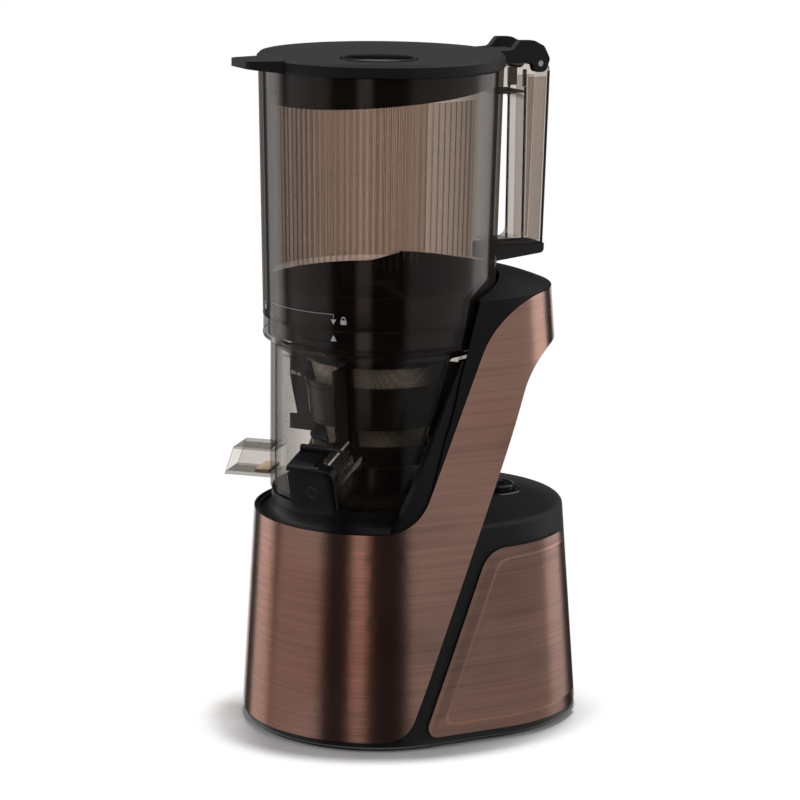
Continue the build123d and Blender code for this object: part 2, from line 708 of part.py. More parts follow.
def rotary_switch():
    """The switch under the deck that the dial's shaft turns."""
    low = DECK_Z - SWITCH_H
    side = SWITCH_SIDE / 2
    case = block((-side, side), (DIAL_Y - side, DIAL_Y + side), (low, DECK_Z - WALL))
    case -= cylinder(DIAL_SHAFT_R + RUN_FIT, low + 1.5, DECK_Z, at=(0, DIAL_Y))
    for x in (-6, 0, 6):
        case += block((x - 1, x + 1), (DIAL_Y + side - 1, DIAL_Y + side + 7), (low + 3, low + 8))
    return case


# ---------------------------------------------------------------- drive
def gearbox_outline(inset):
    circles = Circle(OUTPUT_PITCH_R + CASE_ROOM - inset)
    circles += Pos(0, IDLER_Y) * Circle(IDLER_PITCH_R + CASE_ROOM - 0.8 - inset)
    circles += Pos(0, MOTOR_Y) * Circle(FAST_MODULE * MOTOR_TEETH / 2 + 2 * CASE_ROOM + 3 - inset)
    return circles


def gearbox_case():
    case = Pos(0, 0, CASE_Z) * extrude(gearbox_outline(0), CASE_H)
    case -= Pos(0, 0, CASE_FLOOR_Z) * extrude(gearbox_outline(CASE_T), CASE_H)
    case += cylinder(MOTOR_R - 4, CASE_Z, CASE_FLOOR_Z, at=(0, MOTOR_Y))
    case -= cylinder(MOTOR_SHAFT_R + 4, CASE_Z, CASE_FLOOR_Z, at=(0, MOTOR_Y))
    seat = BEARING_OD / 2
    case += tube(seat + 2.5, seat, CASE_FLOOR_Z - 1, CASE_FLOOR_Z + BEARING_H)
    case += cylinder(IDLER_SHAFT_R + 4, CASE_FLOOR_Z - 0.5, FAST_Z - 1.5, at=(0, IDLER_Y))
    case -= cylinder(IDLER_SHAFT_R, CASE_Z + 1, CASE_TOP_Z, at=(0, IDLER_Y))
    for place in leg_places():
        case += cylinder(BOSS_R, PAN_TOP_Z, CASE_FLOOR_Z, at=place)
    return case


def gearbox_cover():
    low = CASE_TOP_Z + SEAT_GAP
    seat = BEARING_OD / 2
    cover = Pos(0, 0, low) * extrude(gearbox_outline(0), CASE_T)
    cover += cylinder(seat + 3, low, low + BEARING_H + 2)
    cover -= cylinder(seat, low, low + BEARING_H)
    cover -= cylinder(JOURNAL_R + 0.5, low, low + BEARING_H + 2)
    return cover


def bearing(low):
    """A closed ball bearing: two races with the shields between them."""
    outer = BEARING_OD / 2 - 0.05
    inner = JOURNAL_R + RUN_FIT
    top = low + BEARING_H
    ring = tube(outer, inner, low, top)
    ring -= tube(outer - BEARING_LAND, inner + BEARING_LAND - 0.6, top - 0.6, top)
    return ring - tube(outer - BEARING_LAND, inner + BEARING_LAND - 0.6, low, low + 0.6)


def motor_housing():
    can = cylinder(MOTOR_R, MOTOR_LOW_Z, CASE_Z)
    can -= cylinder(MOTOR_R - MOTOR_T, MOTOR_LOW_Z + MOTOR_T, CASE_Z - MOTOR_T)
    can -= cylinder(MOTOR_SHAFT_R + RUN_FIT, MOTOR_LOW_Z, CASE_Z)
    for turn in range(8):
        can -= Rot(Z=45 * turn) * Pos(MOTOR_R * 0.6, 0, MOTOR_LOW_Z) * Box(12, 5, 12)
    return Pos(0, MOTOR_Y, 0) * can


def stator_r():
    return MOTOR_R - MOTOR_T - SEAT_GAP


def motor_stator():
    low = MOTOR_LOW_Z + 22
    high = CASE_Z - 16
    bore = stator_r() - STATOR_T
    ring = tube(stator_r(), bore, low, high)
    for turn in range(6):
        slot = block((bore - 1, bore + STATOR_T * 0.6), (-3.5, 3.5), (low, high))
        ring -= Rot(Z=60 * turn) * slot
    return Pos(0, MOTOR_Y, 0) * ring


def motor_rotor():
    """Rotor core on its shaft, with the pinion cut on the shaft's end."""
    pinion_top = FAST_Z + FAST_W + 1
    shaft = cylinder(MOTOR_SHAFT_R, MOTOR_LOW_Z + 0.2, pinion_top + 1)
    core = cylinder(stator_r() - STATOR_T - AIR_GAP, MOTOR_LOW_Z + 24, CASE_Z - 18)
    teeth = gear_face(MOTOR_TEETH, FAST_MODULE, 90, steps=3)
    pinion = Pos(0, 0, FAST_Z - 1) * extrude(teeth, FAST_W + 2)
    return Pos(0, MOTOR_Y, 0) * (shaft + core + pinion)


def cooling_fan():
    low = MOTOR_LOW_Z + 6
    fan = tube(MOTOR_SHAFT_R + 5, MOTOR_SHAFT_R, low, low + 12)
    reach = stator_r() - STATOR_T + 4
    blade = Pos((reach + 7) / 2, 0, low + 6) * Rot(X=35) * Box(reach - 7, 1.6, 10)
    for turn in range(7):
        fan += Rot(Z=360 / 7 * turn) * blade
    return Pos(0, MOTOR_Y, 0) * fan


def idler_gear():
    """Large gear and small pinion in one piece between motor and output."""
    fast = gear_face(IDLER_TEETH, FAST_MODULE, 90 + 180 / IDLER_TEETH)
    slow = gear_face(PINION_TEETH, SLOW_MODULE, 270, steps=3)
    top = SLOW_Z + SLOW_W + 2
    gear = Pos(0, 0, FAST_Z) * extrude(fast, FAST_W)
    gear += Pos(0, 0, FAST_Z + FAST_W) * extrude(slow, top - FAST_Z - FAST_W)
    for turn in range(5):
        hole = cylinder(6, FAST_Z, FAST_Z + FAST_W, at=(IDLER_PITCH_R - 13, 0))
        gear -= Rot(Z=72 * turn + 36) * hole
    gear -= cylinder(IDLER_SHAFT_R + RUN_FIT, FAST_Z, top)
    return Pos(0, IDLER_Y, 0) * gear


def idler_shaft():
    return cylinder(IDLER_SHAFT_R, CASE_Z + 1, CASE_TOP_Z, at=(0, IDLER_Y))


def output_gear():
    teeth = gear_face(OUTPUT_TEETH, SLOW_MODULE, 90 + 180 / OUTPUT_TEETH)
    gear = Pos(0, 0, SLOW_Z) * extrude(teeth, SLOW_W)
    for turn in range(6):
        hole = cylinder(7, SLOW_Z, SLOW_Z + SLOW_W, at=(OUTPUT_PITCH_R - 17.2, 0))
        gear -= Rot(Z=60 * turn) * hole
    low = CASE_FLOOR_Z + BEARING_H + 2
    gear += tube(JOURNAL_R + 7, JOURNAL_R, low, CASE_TOP_Z - 1.5)
    return gear - cylinder(JOURNAL_R, low, CASE_TOP_Z)


def drive_shaft():
    top = PEDESTAL_Z + 6
    journal = cylinder(JOURNAL_R, CASE_FLOOR_Z + 0.5, top)
    hexagon = RegularPolygon(HEX_FLATS / 2, 6, major_radius=False)
    head = Pos(0, 0, top) * extrude(hexagon, HEX_TOP_Z - top)
    head = chamfer(head.edges().group_by(Axis.Z)[-1], 1.5)
    return journal + head


def shaft_seal():
    """The lip seal in the pedestal round the drive shaft."""
    low = PEDESTAL_Z - SEAL_SEAT_H
    ring = tube(SEAL_SEAT_R - SEAT_GAP, SHAFT_HOLE_R - 1, low + 0.1, low + 2.5)
    lip = tube(SHAFT_HOLE_R, JOURNAL_R + 0.1, low + 1, low + 2.5)
    return ring + lip


def control_board():
    low = PAN_TOP_Z + BOARD_LIFT
    top = low + BOARD_T
    x = BOARD_W / 2
    y = board_front()
    board = block((-x, x), (y, y + BOARD_L), (low, top))
    board += block((8 - x, 28 - x), (y + 8, y + 24), (top, top + 12))
    board += block((x - 26, x - 8), (y + 12, y + 30), (top, top + 8))
    return board + cylinder(6, top, top + 16, at=(0, y + 10))


# ---------------------------------------------------------------- drum
def outlet_plane():
    """Plane in the juice outlet's mouth; its normal is the way the juice runs."""
    x, y = polar(OUTLET_REACH, OUTLET_ANGLE)
    out = (sin(OUTLET_ANGLE) * cos(OUTLET_TILT), -cos(OUTLET_ANGLE) * cos(OUTLET_TILT),
           -sin(OUTLET_TILT))
    across = (cos(OUTLET_ANGLE), sin(OUTLET_ANGLE), 0)
    return Plane(origin=(x, y, OUTLET_Z), x_dir=across, z_dir=out)


def spout_solid(grow, inner_reach):
    """The residue spout's rectangular tube, from a radius out to its slanted mouth."""
    half = SPOUT_W / 2 - grow
    low = SPOUT_LOW_Z + grow
    top = SPOUT_TOP_Z - grow
    slope = (SPOUT_LOW_REACH - SPOUT_TOP_REACH) / (SPOUT_TOP_Z - SPOUT_LOW_Z)
    extra = 5.0 if grow else 0.0
    side = make_face(Polyline(
        (inner_reach, low),
        (SPOUT_LOW_REACH - slope * grow + extra, low),
        (SPOUT_TOP_REACH + slope * grow + extra, top),
        (inner_reach, top), close=True))
    solid = extrude(Plane.XZ * side, half, both=True)
    return Rot(Z=SPOUT_ANGLE - 90) * solid


def juice_drum():
    """The clear juicing bowl with its outlets, floor, chimney and bayonet collar."""
    low = DRUM_LOW_Z
    inner = DRUM_R - CLEAR_T
    outline = [
        (CHIMNEY_R - CLEAR_T, low),
        (DRUM_R - 2, low),
        (DRUM_R, low + 2),
        (DRUM_R, COLLAR_Z),
        (COLLAR_R, COLLAR_Z + 3),
        (COLLAR_R, DRUM_TOP_Z),
        (COLLAR_R - CLEAR_T, DRUM_TOP_Z),
        (COLLAR_R - CLEAR_T, COLLAR_Z + 4.5),
        (inner, COLLAR_Z + 1.5),
        (inner, low + CLEAR_T),
        (CHIMNEY_R, low + CLEAR_T),
        (CHIMNEY_R, CHIMNEY_TOP_Z),
        (CHIMNEY_R - CLEAR_T, CHIMNEY_TOP_Z),
    ]
    bowl = revolved(outline)
    mouth = outlet_plane()
    side = OUTLET_SIDE - 2 * OUTLET_T
    nozzle = extrude(mouth * RectangleRounded(OUTLET_SIDE, OUTLET_SIDE, OUTLET_CORNER_R), -50)
    bore_face = RectangleRounded(side, side, OUTLET_CORNER_R - OUTLET_T)
    nozzle_bore = extrude(mouth * Pos(0, 0, 5) * bore_face, -55)
    ear = mouth * Pos(0, (OUTLET_SIDE / 2 + hood_axis()) / 2, -HOOD_LENGTH)
    nozzle += ear * Box(CAP_EAR_W, hood_axis() - OUTLET_SIDE / 2 + 1.0, HOOD_T)
    nozzle += cap_pin_bore(HOOD_T / 2, CAP_EAR_W)
    nozzle -= cap_pin_bore(CAP_PIN_R, BIG / 4)
    bowl += nozzle - cylinder(inner + 0.5, 0, BIG)
    bowl += spout_solid(0, inner + 0.5) - cylinder(inner + 0.5, 0, BIG)
    keep_out = cylinder(DRUM_R - 12, 0, BIG)
    bowl -= nozzle_bore - keep_out
    bowl -= spout_solid(SPOUT_T, inner - 6) - keep_out
    for lug in range(LUG_COUNT):
        bowl += sector(COLLAR_R - 1, LEDGE_R, LEDGE_Z, LEDGE_Z + LEDGE_H,
                       OUTLET_ANGLE + 360 / LUG_COUNT * lug, LEDGE_ARC)
    bowl += cylinder(PLANET_PIN_R, low + 1, GEAR_Z + GEAR_H - 0.5, at=(0, PLANET_Y))
    for turn in range(3):
        bracket = block((inner - 3, inner + 1), (-5, 5), (MESH_Z1 - 5, MESH_Z1 - SEAT_GAP))
        bowl += Rot(Z=120 * turn + 30) * bracket
    return bowl


def drum_packing():
    """The silicone ring in the drum's chimney, against the shaft."""
    outer = CHIMNEY_R - CLEAR_T - 0.05
    return tube(outer, JOURNAL_R + 0.1, DRUM_LOW_Z + 0.2, DRUM_LOW_Z + 5.2)


def residue_plug():
    """The silicone pressing plug at the spout's root."""
    low = SPOUT_LOW_Z + SPOUT_T + SEAT_GAP
    place = Pos(*polar(DRUM_R + 6, SPOUT_ANGLE), low + PLUG_T / 2) * Rot(Z=SPOUT_ANGLE)
    return place * Box(SPOUT_W - 2 * SPOUT_T - 2 * SEAT_GAP, 10, PLUG_T)


# ---------------------------------------------------------------- juice cap
def hood_axis():
    """Height of the cap's pin above the nozzle's centre line."""
    return OUTLET_SIDE / 2 + SEAT_GAP + HOOD_T / 2


def cap_pin_bore(radius, length):
    """A cylinder on the cap's hinge line."""
    at = outlet_plane() * Pos(0, hood_axis(), -HOOD_LENGTH) * Rot(Y=90)
    return at * Cylinder(radius, length)


def juice_cap():
    """The flip cap: a rounded plate over the mouth and a hood back to its pin."""
    mouth = outlet_plane()
    plate_face = RectangleRounded(CAP_SIDE, CAP_SIDE, CAP_CORNER_R)
    plate = extrude(mouth * Pos(0, 0, SEAT_GAP) * plate_face, CAP_T)
    out = Axis(mouth.origin, mouth.z_dir)
    plate = fillet(plate.faces().sort_by(out)[-1].edges(), 1.2)
    hood = mouth * Pos(0, hood_axis(), (CAP_T - HOOD_LENGTH) / 2) \
        * Box(HOOD_W, HOOD_T, CAP_T + HOOD_LENGTH)
    knuckle = cap_pin_bore(HOOD_T / 2, HOOD_W)
    slot = mouth * Pos(0, hood_axis(), -HOOD_LENGTH) \
        * Box(CAP_EAR_W + 2 * SEAT_GAP, 2 * HOOD_T, HOOD_T * 1.5)
    cap = plate + hood + knuckle - slot - cap_pin_bore(CAP_PIN_R + RUN_FIT, BIG / 4)
    ring = Circle(CAP_RING_R) - Circle(CAP_RING_R - CAP_RING_W)
    cap -= extrude(mouth * Pos(0, 0, CAP_T - 0.4) * ring, 3)
    seal_side = OUTLET_SIDE - 1.0
    seal_face = RectangleRounded(seal_side, seal_side, OUTLET_CORNER_R)
    cap -= extrude(mouth * seal_face, SEAT_GAP + CAP_SEAL_T)
    return cap


def cap_pin():
    return cap_pin_bore(CAP_PIN_R, HOOD_W - 0.4)


def cap_seal():
    """The flat silicone seal in the cap's inner face."""
    side = OUTLET_SIDE - 1.0 - 0.02
    face = RectangleRounded(side, side, OUTLET_CORNER_R)
    return extrude(outlet_plane() * Pos(0, 0, SEAT_GAP) * face, CAP_SEAL_T)


# ---------------------------------------------------------------- strainer and brush
def cone_shell(outer_gap, thickness, low, high):
    """A conical wall that follows the strainer's taper."""
    return revolved([
        (basket_r(low) + outer_gap - thickness, low),
        (basket_r(low) + outer_gap, low),
        (basket_r(high) + outer_gap, high),
        (basket_r(high) + outer_gap - thickness, high),
    ])


def radial_slab(half):
    """A thin upright slab from the drive axis outwards."""
    return block((0, DRUM_R), (-half, half), (PLATFORM_Z, HOPPER_TOP_Z))


def strainer_mesh():
    return cone_shell(0, MESH_T, MESH_Z0 + 3.2, MESH_Z1 - 0.2)


def strainer_frame():
    """Black frame that holds the mesh: foot ring, ribs inside and a top flange."""
    foot = revolved([
        (basket_r(MESH_Z0) - 3, MESH_Z0),
        (basket_r(MESH_Z0), MESH_Z0),
        (basket_r(MESH_Z0 + 3), MESH_Z0 + 3),
        (basket_r(MESH_Z0 + 3) - 3, MESH_Z0 + 3),
    ])
    top_r = MESH_TOP_R
    edge = top_r + FLANGE_REACH
    flange = revolved([
        (top_r - 3, MESH_Z1),
        (edge, MESH_Z1),
        (edge, MESH_Z1 + FLANGE_T),
        (edge + 2, MESH_Z1 + 3 * FLANGE_T),
        (edge, MESH_Z1 + 3 * FLANGE_T),
        (edge - 2, MESH_Z1 + FLANGE_T + 1),
        (top_r - 3, MESH_Z1 + FLANGE_T + 1),
    ])
    frame = foot + flange
    rib = cone_shell(-MESH_T - 0.1, 1.4, MESH_Z0 + 0.5, MESH_Z1 + 0.5)
    for turn in range(8):
        frame += rib & (Rot(Z=45 * turn + 22.5) * radial_slab(1.2))
    for turn in range(3):
        arm = block((edge - 1, DRUM_R - CLEAR_T - 0.4), (-5, 5), (MESH_Z1, MESH_Z1 + FLANGE_T))
        frame += Rot(Z=120 * turn + 30) * arm
    return frame


def brush_frame():
    """Black wiping frame round the strainer, with its ring gear and windows."""
    gap = BRUSH_GAP + BRUSH_T
    top_z = MESH_Z1 - 2.5
    low_z = GEAR_Z + GEAR_H + 2
    frame = cone_shell(gap, BRUSH_T, top_z - 6, top_z)
    for rise in BRUSH_RINGS:
        z = MESH_Z0 + rise
        frame += cone_shell(gap, BRUSH_T, z - BRUSH_RING_H / 2, z + BRUSH_RING_H / 2)
    rib = cone_shell(gap, BRUSH_T, low_z + 4, top_z)
    for turn in range(BRUSH_RIBS):
        frame += rib & (Rot(Z=360 / BRUSH_RIBS * turn + BRUSH_RIB_TURN) * radial_slab(4.0))
    ring_r = RING_OUT_R
    shroud = revolved([
        (ring_r - 3, GEAR_Z + GEAR_H),
        (ring_r, GEAR_Z + GEAR_H),
        (basket_r(low_z + 8) + gap, low_z + 8),
        (basket_r(low_z + 8) + BRUSH_GAP, low_z + 8),
        (basket_r(low_z + 4) + BRUSH_GAP, low_z + 4),
        (ring_r - 3, GEAR_Z + GEAR_H + 2),
    ])
    frame += shroud
    ring = Circle(ring_r) - gear_face(RING_TEETH, GEAR_MODULE, 90 + 180 / RING_TEETH,
                                      addendum=1.25, dedendum=0.85, backlash=-0.16)
    return frame + Pos(0, 0, GEAR_Z) * extrude(ring, GEAR_H)


def brush_wipers():
    """Silicone blades in the brush frame's ribs, just off the mesh."""
    blade = cone_shell(BRUSH_GAP - 0.1, BRUSH_GAP - 0.4, MESH_Z0 + 16, MESH_Z1 - 5)
    wipers = []
    for turn in range(BRUSH_RIBS):
        wipers.append(blade & (Rot(Z=360 / BRUSH_RIBS * turn + BRUSH_RIB_TURN) * radial_slab(1.0)))
    return wipers


def brush_gear():
    gear = extrude(gear_face(PLANET_TEETH, GEAR_MODULE, 270 + 180 / PLANET_TEETH, steps=3), GEAR_H)
    gear = gear - cylinder(PLANET_PIN_R + RUN_FIT, 0, GEAR_H)
    return Pos(0, PLANET_Y, GEAR_Z) * gear


# ---------------------------------------------------------------- auger
def auger():
    """The juicing screw: hex socket, sun gear, tapered core and helical flights."""
    low_z = GEAR_Z
    top_z = MESH_Z1 + 4
    collar_top = GEAR_Z + GEAR_H + 1
    core = revolved([
        (CHIMNEY_R + 0.6, low_z),
        (CHIMNEY_R + 2.0, low_z),
        (CHIMNEY_R + 2.0, collar_top),
        (MESH_LOW_R - 5.3, MESH_Z0 + 2),
        (MESH_LOW_R - 3.3, MESH_Z0 + 8),
        (SCREW_CORE_R, MESH_Z1 - 28),
        (SCREW_CORE_R - 4, top_z),
        (POST_R, top_z + 3),
        (POST_R, WING_TOP_Z - 3),
        (POST_R - 2, WING_TOP_Z),
        (0.0, WING_TOP_Z),
        (0.0, HEX_TOP_Z + 2),
        (HEX_FLATS / 2 + 2, HEX_TOP_Z + 2),
        (CHIMNEY_R + 0.6, CHIMNEY_TOP_Z + 1),
    ])
    hexagon = RegularPolygon(HEX_FLATS / 2 + 0.15, 6, major_radius=False)
    socket = cylinder(CHIMNEY_R + 3, CHIMNEY_TOP_Z + 1, HEX_TOP_Z + 3)
    socket -= Pos(0, 0, CHIMNEY_TOP_Z) * extrude(hexagon, HEX_TOP_Z - CHIMNEY_TOP_Z + 1)
    sun = Pos(0, 0, GEAR_Z) * extrude(gear_face(SUN_TEETH, GEAR_MODULE, 90, steps=3), GEAR_H)
    core += sun - cylinder(CHIMNEY_R + 0.6, 0, BIG)
    return core + socket + screw_flights()


def screw_flights():
    """Helical flights, cut to the strainer's cone."""
    low = MESH_Z0 + 6
    high = MESH_Z1 - 1
    fin = make_face(Polyline(
        (SCREW_CORE_R - 6, -SCREW_FLIGHT_T), (DRUM_R, -2 * SCREW_FLIGHT_T),
        (DRUM_R, 2 * SCREW_FLIGHT_T), (SCREW_CORE_R - 6, SCREW_FLIGHT_T), close=True))
    turn = 360 * (high - low) / SCREW_PITCH
    gap = -MESH_T - 1.5 - SCREW_GAP
    cone = revolved([
        (0, low), (basket_r(low) + gap, low), (basket_r(high) + gap, high), (0, high)])
    flights = None
    for start in range(SCREW_STARTS):
        section = Rot(Z=360 / SCREW_STARTS * start) * fin
        twisted = Solid.extrude_linear_with_rotation(
            section.face(), (0, 0, 0), (0, 0, high - low), turn)
        flight = (Pos(0, 0, low) * twisted) & cone
        flights = flight if flights is None else flights + flight
    return flights


def cutting_wing():
    """The cross blade on the auger's post that pulls produce into the throat."""
    low = THROAT_Z + 3
    tip = THROAT_R + 10
    root = THROAT_R - 7
    side = make_face(Polyline(
        (-tip, low + 14), (-root, low), (root, low), (tip, low + 14),
        (tip, WING_TOP_Z - 7), (WING_HUB_R, WING_TOP_Z), (-tip, WING_TOP_Z), close=True))
    wing = extrude(Plane.XZ * side, WING_T / 2, both=True)
    wing += cylinder(WING_HUB_R, low - 1, WING_TOP_Z)
    return wing - cylinder(POST_R, low - 1, WING_TOP_Z)


# ---------------------------------------------------------------- hopper
def hopper_r(z):
    """Outside of the hopper wall at a height."""
    rise = (z - HOPPER_LOW_Z) / (HOPPER_TOP_Z - HOPPER_LOW_Z)
    return HOPPER_LOW_R + (HOPPER_TOP_R - HOPPER_LOW_R) * rise


def handle_underside(y):
    return HANDLE_LOW_Z + (y - HOPPER_TOP_R) * HANDLE_SLOPE


def hopper():
    """The clear feed hopper with its handle and hinge knuckle."""
    wall = revolved([
        (hopper_r(HOPPER_LOW_Z) - CLEAR_T, HOPPER_LOW_Z),
        (hopper_r(HOPPER_LOW_Z), HOPPER_LOW_Z),
        (hopper_r(HOPPER_TOP_Z), HOPPER_TOP_Z),
        (hopper_r(HOPPER_TOP_Z) - CLEAR_T, HOPPER_TOP_Z),
    ])
    low = INSERT_TOP_Z + SKIN_GAP
    root = HOPPER_LOW_R - 7
    outside = [
        (root, low, 0),
        (HANDLE_LOW_Y + 0.3, low, 0),
        (HANDLE_TOP_Y, HINGE_Z, 5),
        (HANDLE_IN_Y, HINGE_Z, 0),
        (HANDLE_IN_Y - 4, HINGE_Z - 1.5, 0),
        (root, HINGE_Z - 1.5, 0),
    ]
    gap = [
        (40, HANDLE_GAP_LOW_Z, 0),
        (HANDLE_IN_Y, HANDLE_GAP_LOW_Z, 6),
        (HANDLE_IN_Y, HANDLE_GAP_TOP_Z, 6),
        (40, HANDLE_GAP_TOP_Z, 0),
    ]
    grip = extrude(Plane.YZ * (rounded_face(outside) - rounded_face(gap)), HANDLE_W / 2, both=True)
    knuckle = Pos(0, HINGE_Y, HINGE_Z) * Rot(Y=90) * Cylinder(KNUCKLE_R, HANDLE_W)
    grip = grip + knuckle
    grip -= Pos(0, HINGE_Y, HINGE_Z) * Rot(Y=90) * Cylinder(HINGE_PIN_R + RUN_FIT, HANDLE_W + 2)
    grip = chamfer(grip.edges().filter_by(lambda e: e.center().Y > HANDLE_LOW_Y
                                          and e.center().Z < HINGE_Z - 10
                                          and abs(e.center().X) > 5), 3.0)
    grip -= cylinder(hopper_r(HINGE_Z) - CLEAR_T, HOPPER_LOW_Z, LID_TOP_Z)
    return wall + grip


def handle_insert():
    """The black foot of the handle, pressed up into the clear moulding."""
    root = HOPPER_LOW_R - 7
    side = [
        (root, handle_underside(root), 0),
        (HANDLE_LOW_Y, handle_underside(HANDLE_LOW_Y), 3),
        (HANDLE_LOW_Y, INSERT_TOP_Z, 0),
        (root, INSERT_TOP_Z, 0),
    ]
    foot = extrude(Plane.YZ * rounded_face(side), HANDLE_W / 2, both=True)
    return foot - cylinder(hopper_r(INSERT_TOP_Z) + SKIN_GAP, HOPPER_LOW_Z, HINGE_Z)


def hopper_ring():
    """The black funnel inside the hopper's foot, with its bayonet lugs."""
    outer = hopper_r(HOPPER_LOW_Z) - CLEAR_T - SKIN_GAP
    skirt = LEDGE_R - 0.4
    funnel = revolved([
        (outer - BAND_T, BAND_TOP_Z),
        (outer, BAND_TOP_Z),
        (outer, DRUM_TOP_Z + 3),
        (skirt, DRUM_TOP_Z + 1.5),
        (skirt, COLLAR_Z + 5.3),
        (skirt - BAND_T, COLLAR_Z + 5.3),
        (skirt - BAND_T, DRUM_TOP_Z + 1),
        (skirt - 5, DRUM_TOP_Z + 1),
        (THROAT_R + 3, THROAT_Z - 2),
        (THROAT_R, THROAT_Z - 2),
        (THROAT_R, THROAT_Z),
        (outer - 3, DRUM_TOP_Z + 9),
    ])
    funnel += sector(outer, outer - BAND_T, BAND_TOP_Z - 1, BAND_TOP_Z + BAND_LIP_H,
                     180, BAND_LIP_ARC)
    for lug in range(LUG_COUNT):
        funnel += sector(COLLAR_R - CLEAR_T - 0.4, skirt - 1, LEDGE_Z - 4.3, LEDGE_Z - 0.3,
                         OUTLET_ANGLE + 360 / LUG_COUNT * lug, LUG_ARC)
    return funnel


# ---------------------------------------------------------------- lid
def lid():
    """The black lid with its finger tab, hinge ears and slanted inner skirt."""
    disc = revolved([
        (0, LID_TOP_Z - LID_DISH - LID_T),
        (SKIRT_R, LID_TOP_Z - LID_DISH - LID_T),
        (LID_R - 4, LID_LOW_Z),
        (LID_R - 0.8, LID_LOW_Z),
        (LID_R, LID_LOW_Z + 1),
        (LID_R, LID_TOP_Z - 2),
        (LID_R - 2, LID_TOP_Z),
        (LID_R - 3.5, LID_TOP_Z),
        (LID_R - 8, LID_TOP_Z - LID_DISH),
        (0, LID_TOP_Z - LID_DISH),
    ])
    front_z = LID_LOW_Z - SKIRT_FRONT_H
    skirt = tube(SKIRT_R, SKIRT_R - SKIRT_T, front_z, LID_TOP_Z - LID_DISH - 1)
    skirt -= side_prism([
        (-BIG, HOPPER_LOW_Z, 0),
        (BIG, HOPPER_LOW_Z, 0),
        (SKIRT_R, LID_LOW_Z - SKIRT_BACK_H, 0),
        (-SKIRT_R, front_z, 0),
        (-BIG, front_z, 0),
    ])
    tab_plan = [
        (-TAB_W * 0.72, -LID_R + 11, 0),
        (-TAB_W / 2, -TAB_REACH, 7),
        (TAB_W / 2, -TAB_REACH, 7),
        (TAB_W * 0.72, -LID_R + 11, 0),
    ]
    tab = Pos(0, 0, LID_LOW_Z) * extrude(rounded_face(tab_plan), LID_TOP_Z - 1 - LID_LOW_Z)
    tab -= cylinder(SKIRT_R + 1, LID_LOW_Z - 5, LID_TOP_Z)
    tab -= side_prism([
        (-TAB_REACH - 10, LID_LOW_Z - 5, 0),
        (-LID_R, LID_LOW_Z - 5, 0),
        (-LID_R, LID_LOW_Z, 0),
        (-TAB_REACH - 10, LID_LOW_Z + 4, 0),
    ])
    body = disc + skirt + tab + lid_ears()
    recess = Rot(Z=RECESS_TURN) * SlotOverall(RECESS_L, RECESS_W)
    cup = Rot(Z=RECESS_TURN) * SlotOverall(RECESS_L + 2 * LID_T, RECESS_W + 2 * LID_T)
    at = Pos(*RECESS_AT, 0)
    top = LID_TOP_Z - LID_DISH
    body += at * Pos(0, 0, top - RECESS_D - LID_T) * extrude(cup, RECESS_D)
    return body - at * Pos(0, 0, top - RECESS_D) * extrude(recess, RECESS_D + 5)


def lid_ears():
    """Two ears beside the handle, joined to the lid by a bridge plate."""
    root = LID_R - 5
    neck = HINGE_Y - 6.5
    outline = [
        (root, LID_LOW_Z, 0),
        (neck, LID_LOW_Z, 2),
        (neck + 2, HINGE_Z - 5.7, 3),
        (HINGE_Y + 4, HINGE_Z - 5.7, 4),
        (HINGE_Y + 7, HINGE_Z + 3, 4),
        (HINGE_Y + 2.5, LID_TOP_Z + 2, 4),
        (HINGE_Y - 5, LID_TOP_Z + 5.8, 4),
        (HINGE_Y - 16, LID_TOP_Z + 6.3, 3),
        (LID_R + 7.2, LID_TOP_Z, 4),
        (root, LID_TOP_Z - 0.5, 0),
    ]
    ear = extrude(Plane.YZ * rounded_face(outline), EAR_W)
    bore = Pos(0, HINGE_Y, HINGE_Z) * Rot(Y=90) * Cylinder(HINGE_PIN_R, 60)
    ears = Pos(EAR_IN_X, 0, 0) * ear + Pos(-EAR_IN_X - EAR_W, 0, 0) * ear
    plate = block((-EAR_IN_X - 1, EAR_IN_X + 1), (root, HINGE_Y - 12),
                  (LID_TOP_Z - 4, LID_TOP_Z - 0.5))
    return ears + plate - bore - cylinder(LID_R - 4, LID_LOW_Z - 10, LID_TOP_Z - 4)


def hinge_pin():
    length = 2 * (EAR_IN_X + EAR_W) - 0.4
    return Pos(0, HINGE_Y, HINGE_Z) * Rot(Y=90) * Cylinder(HINGE_PIN_R, length)


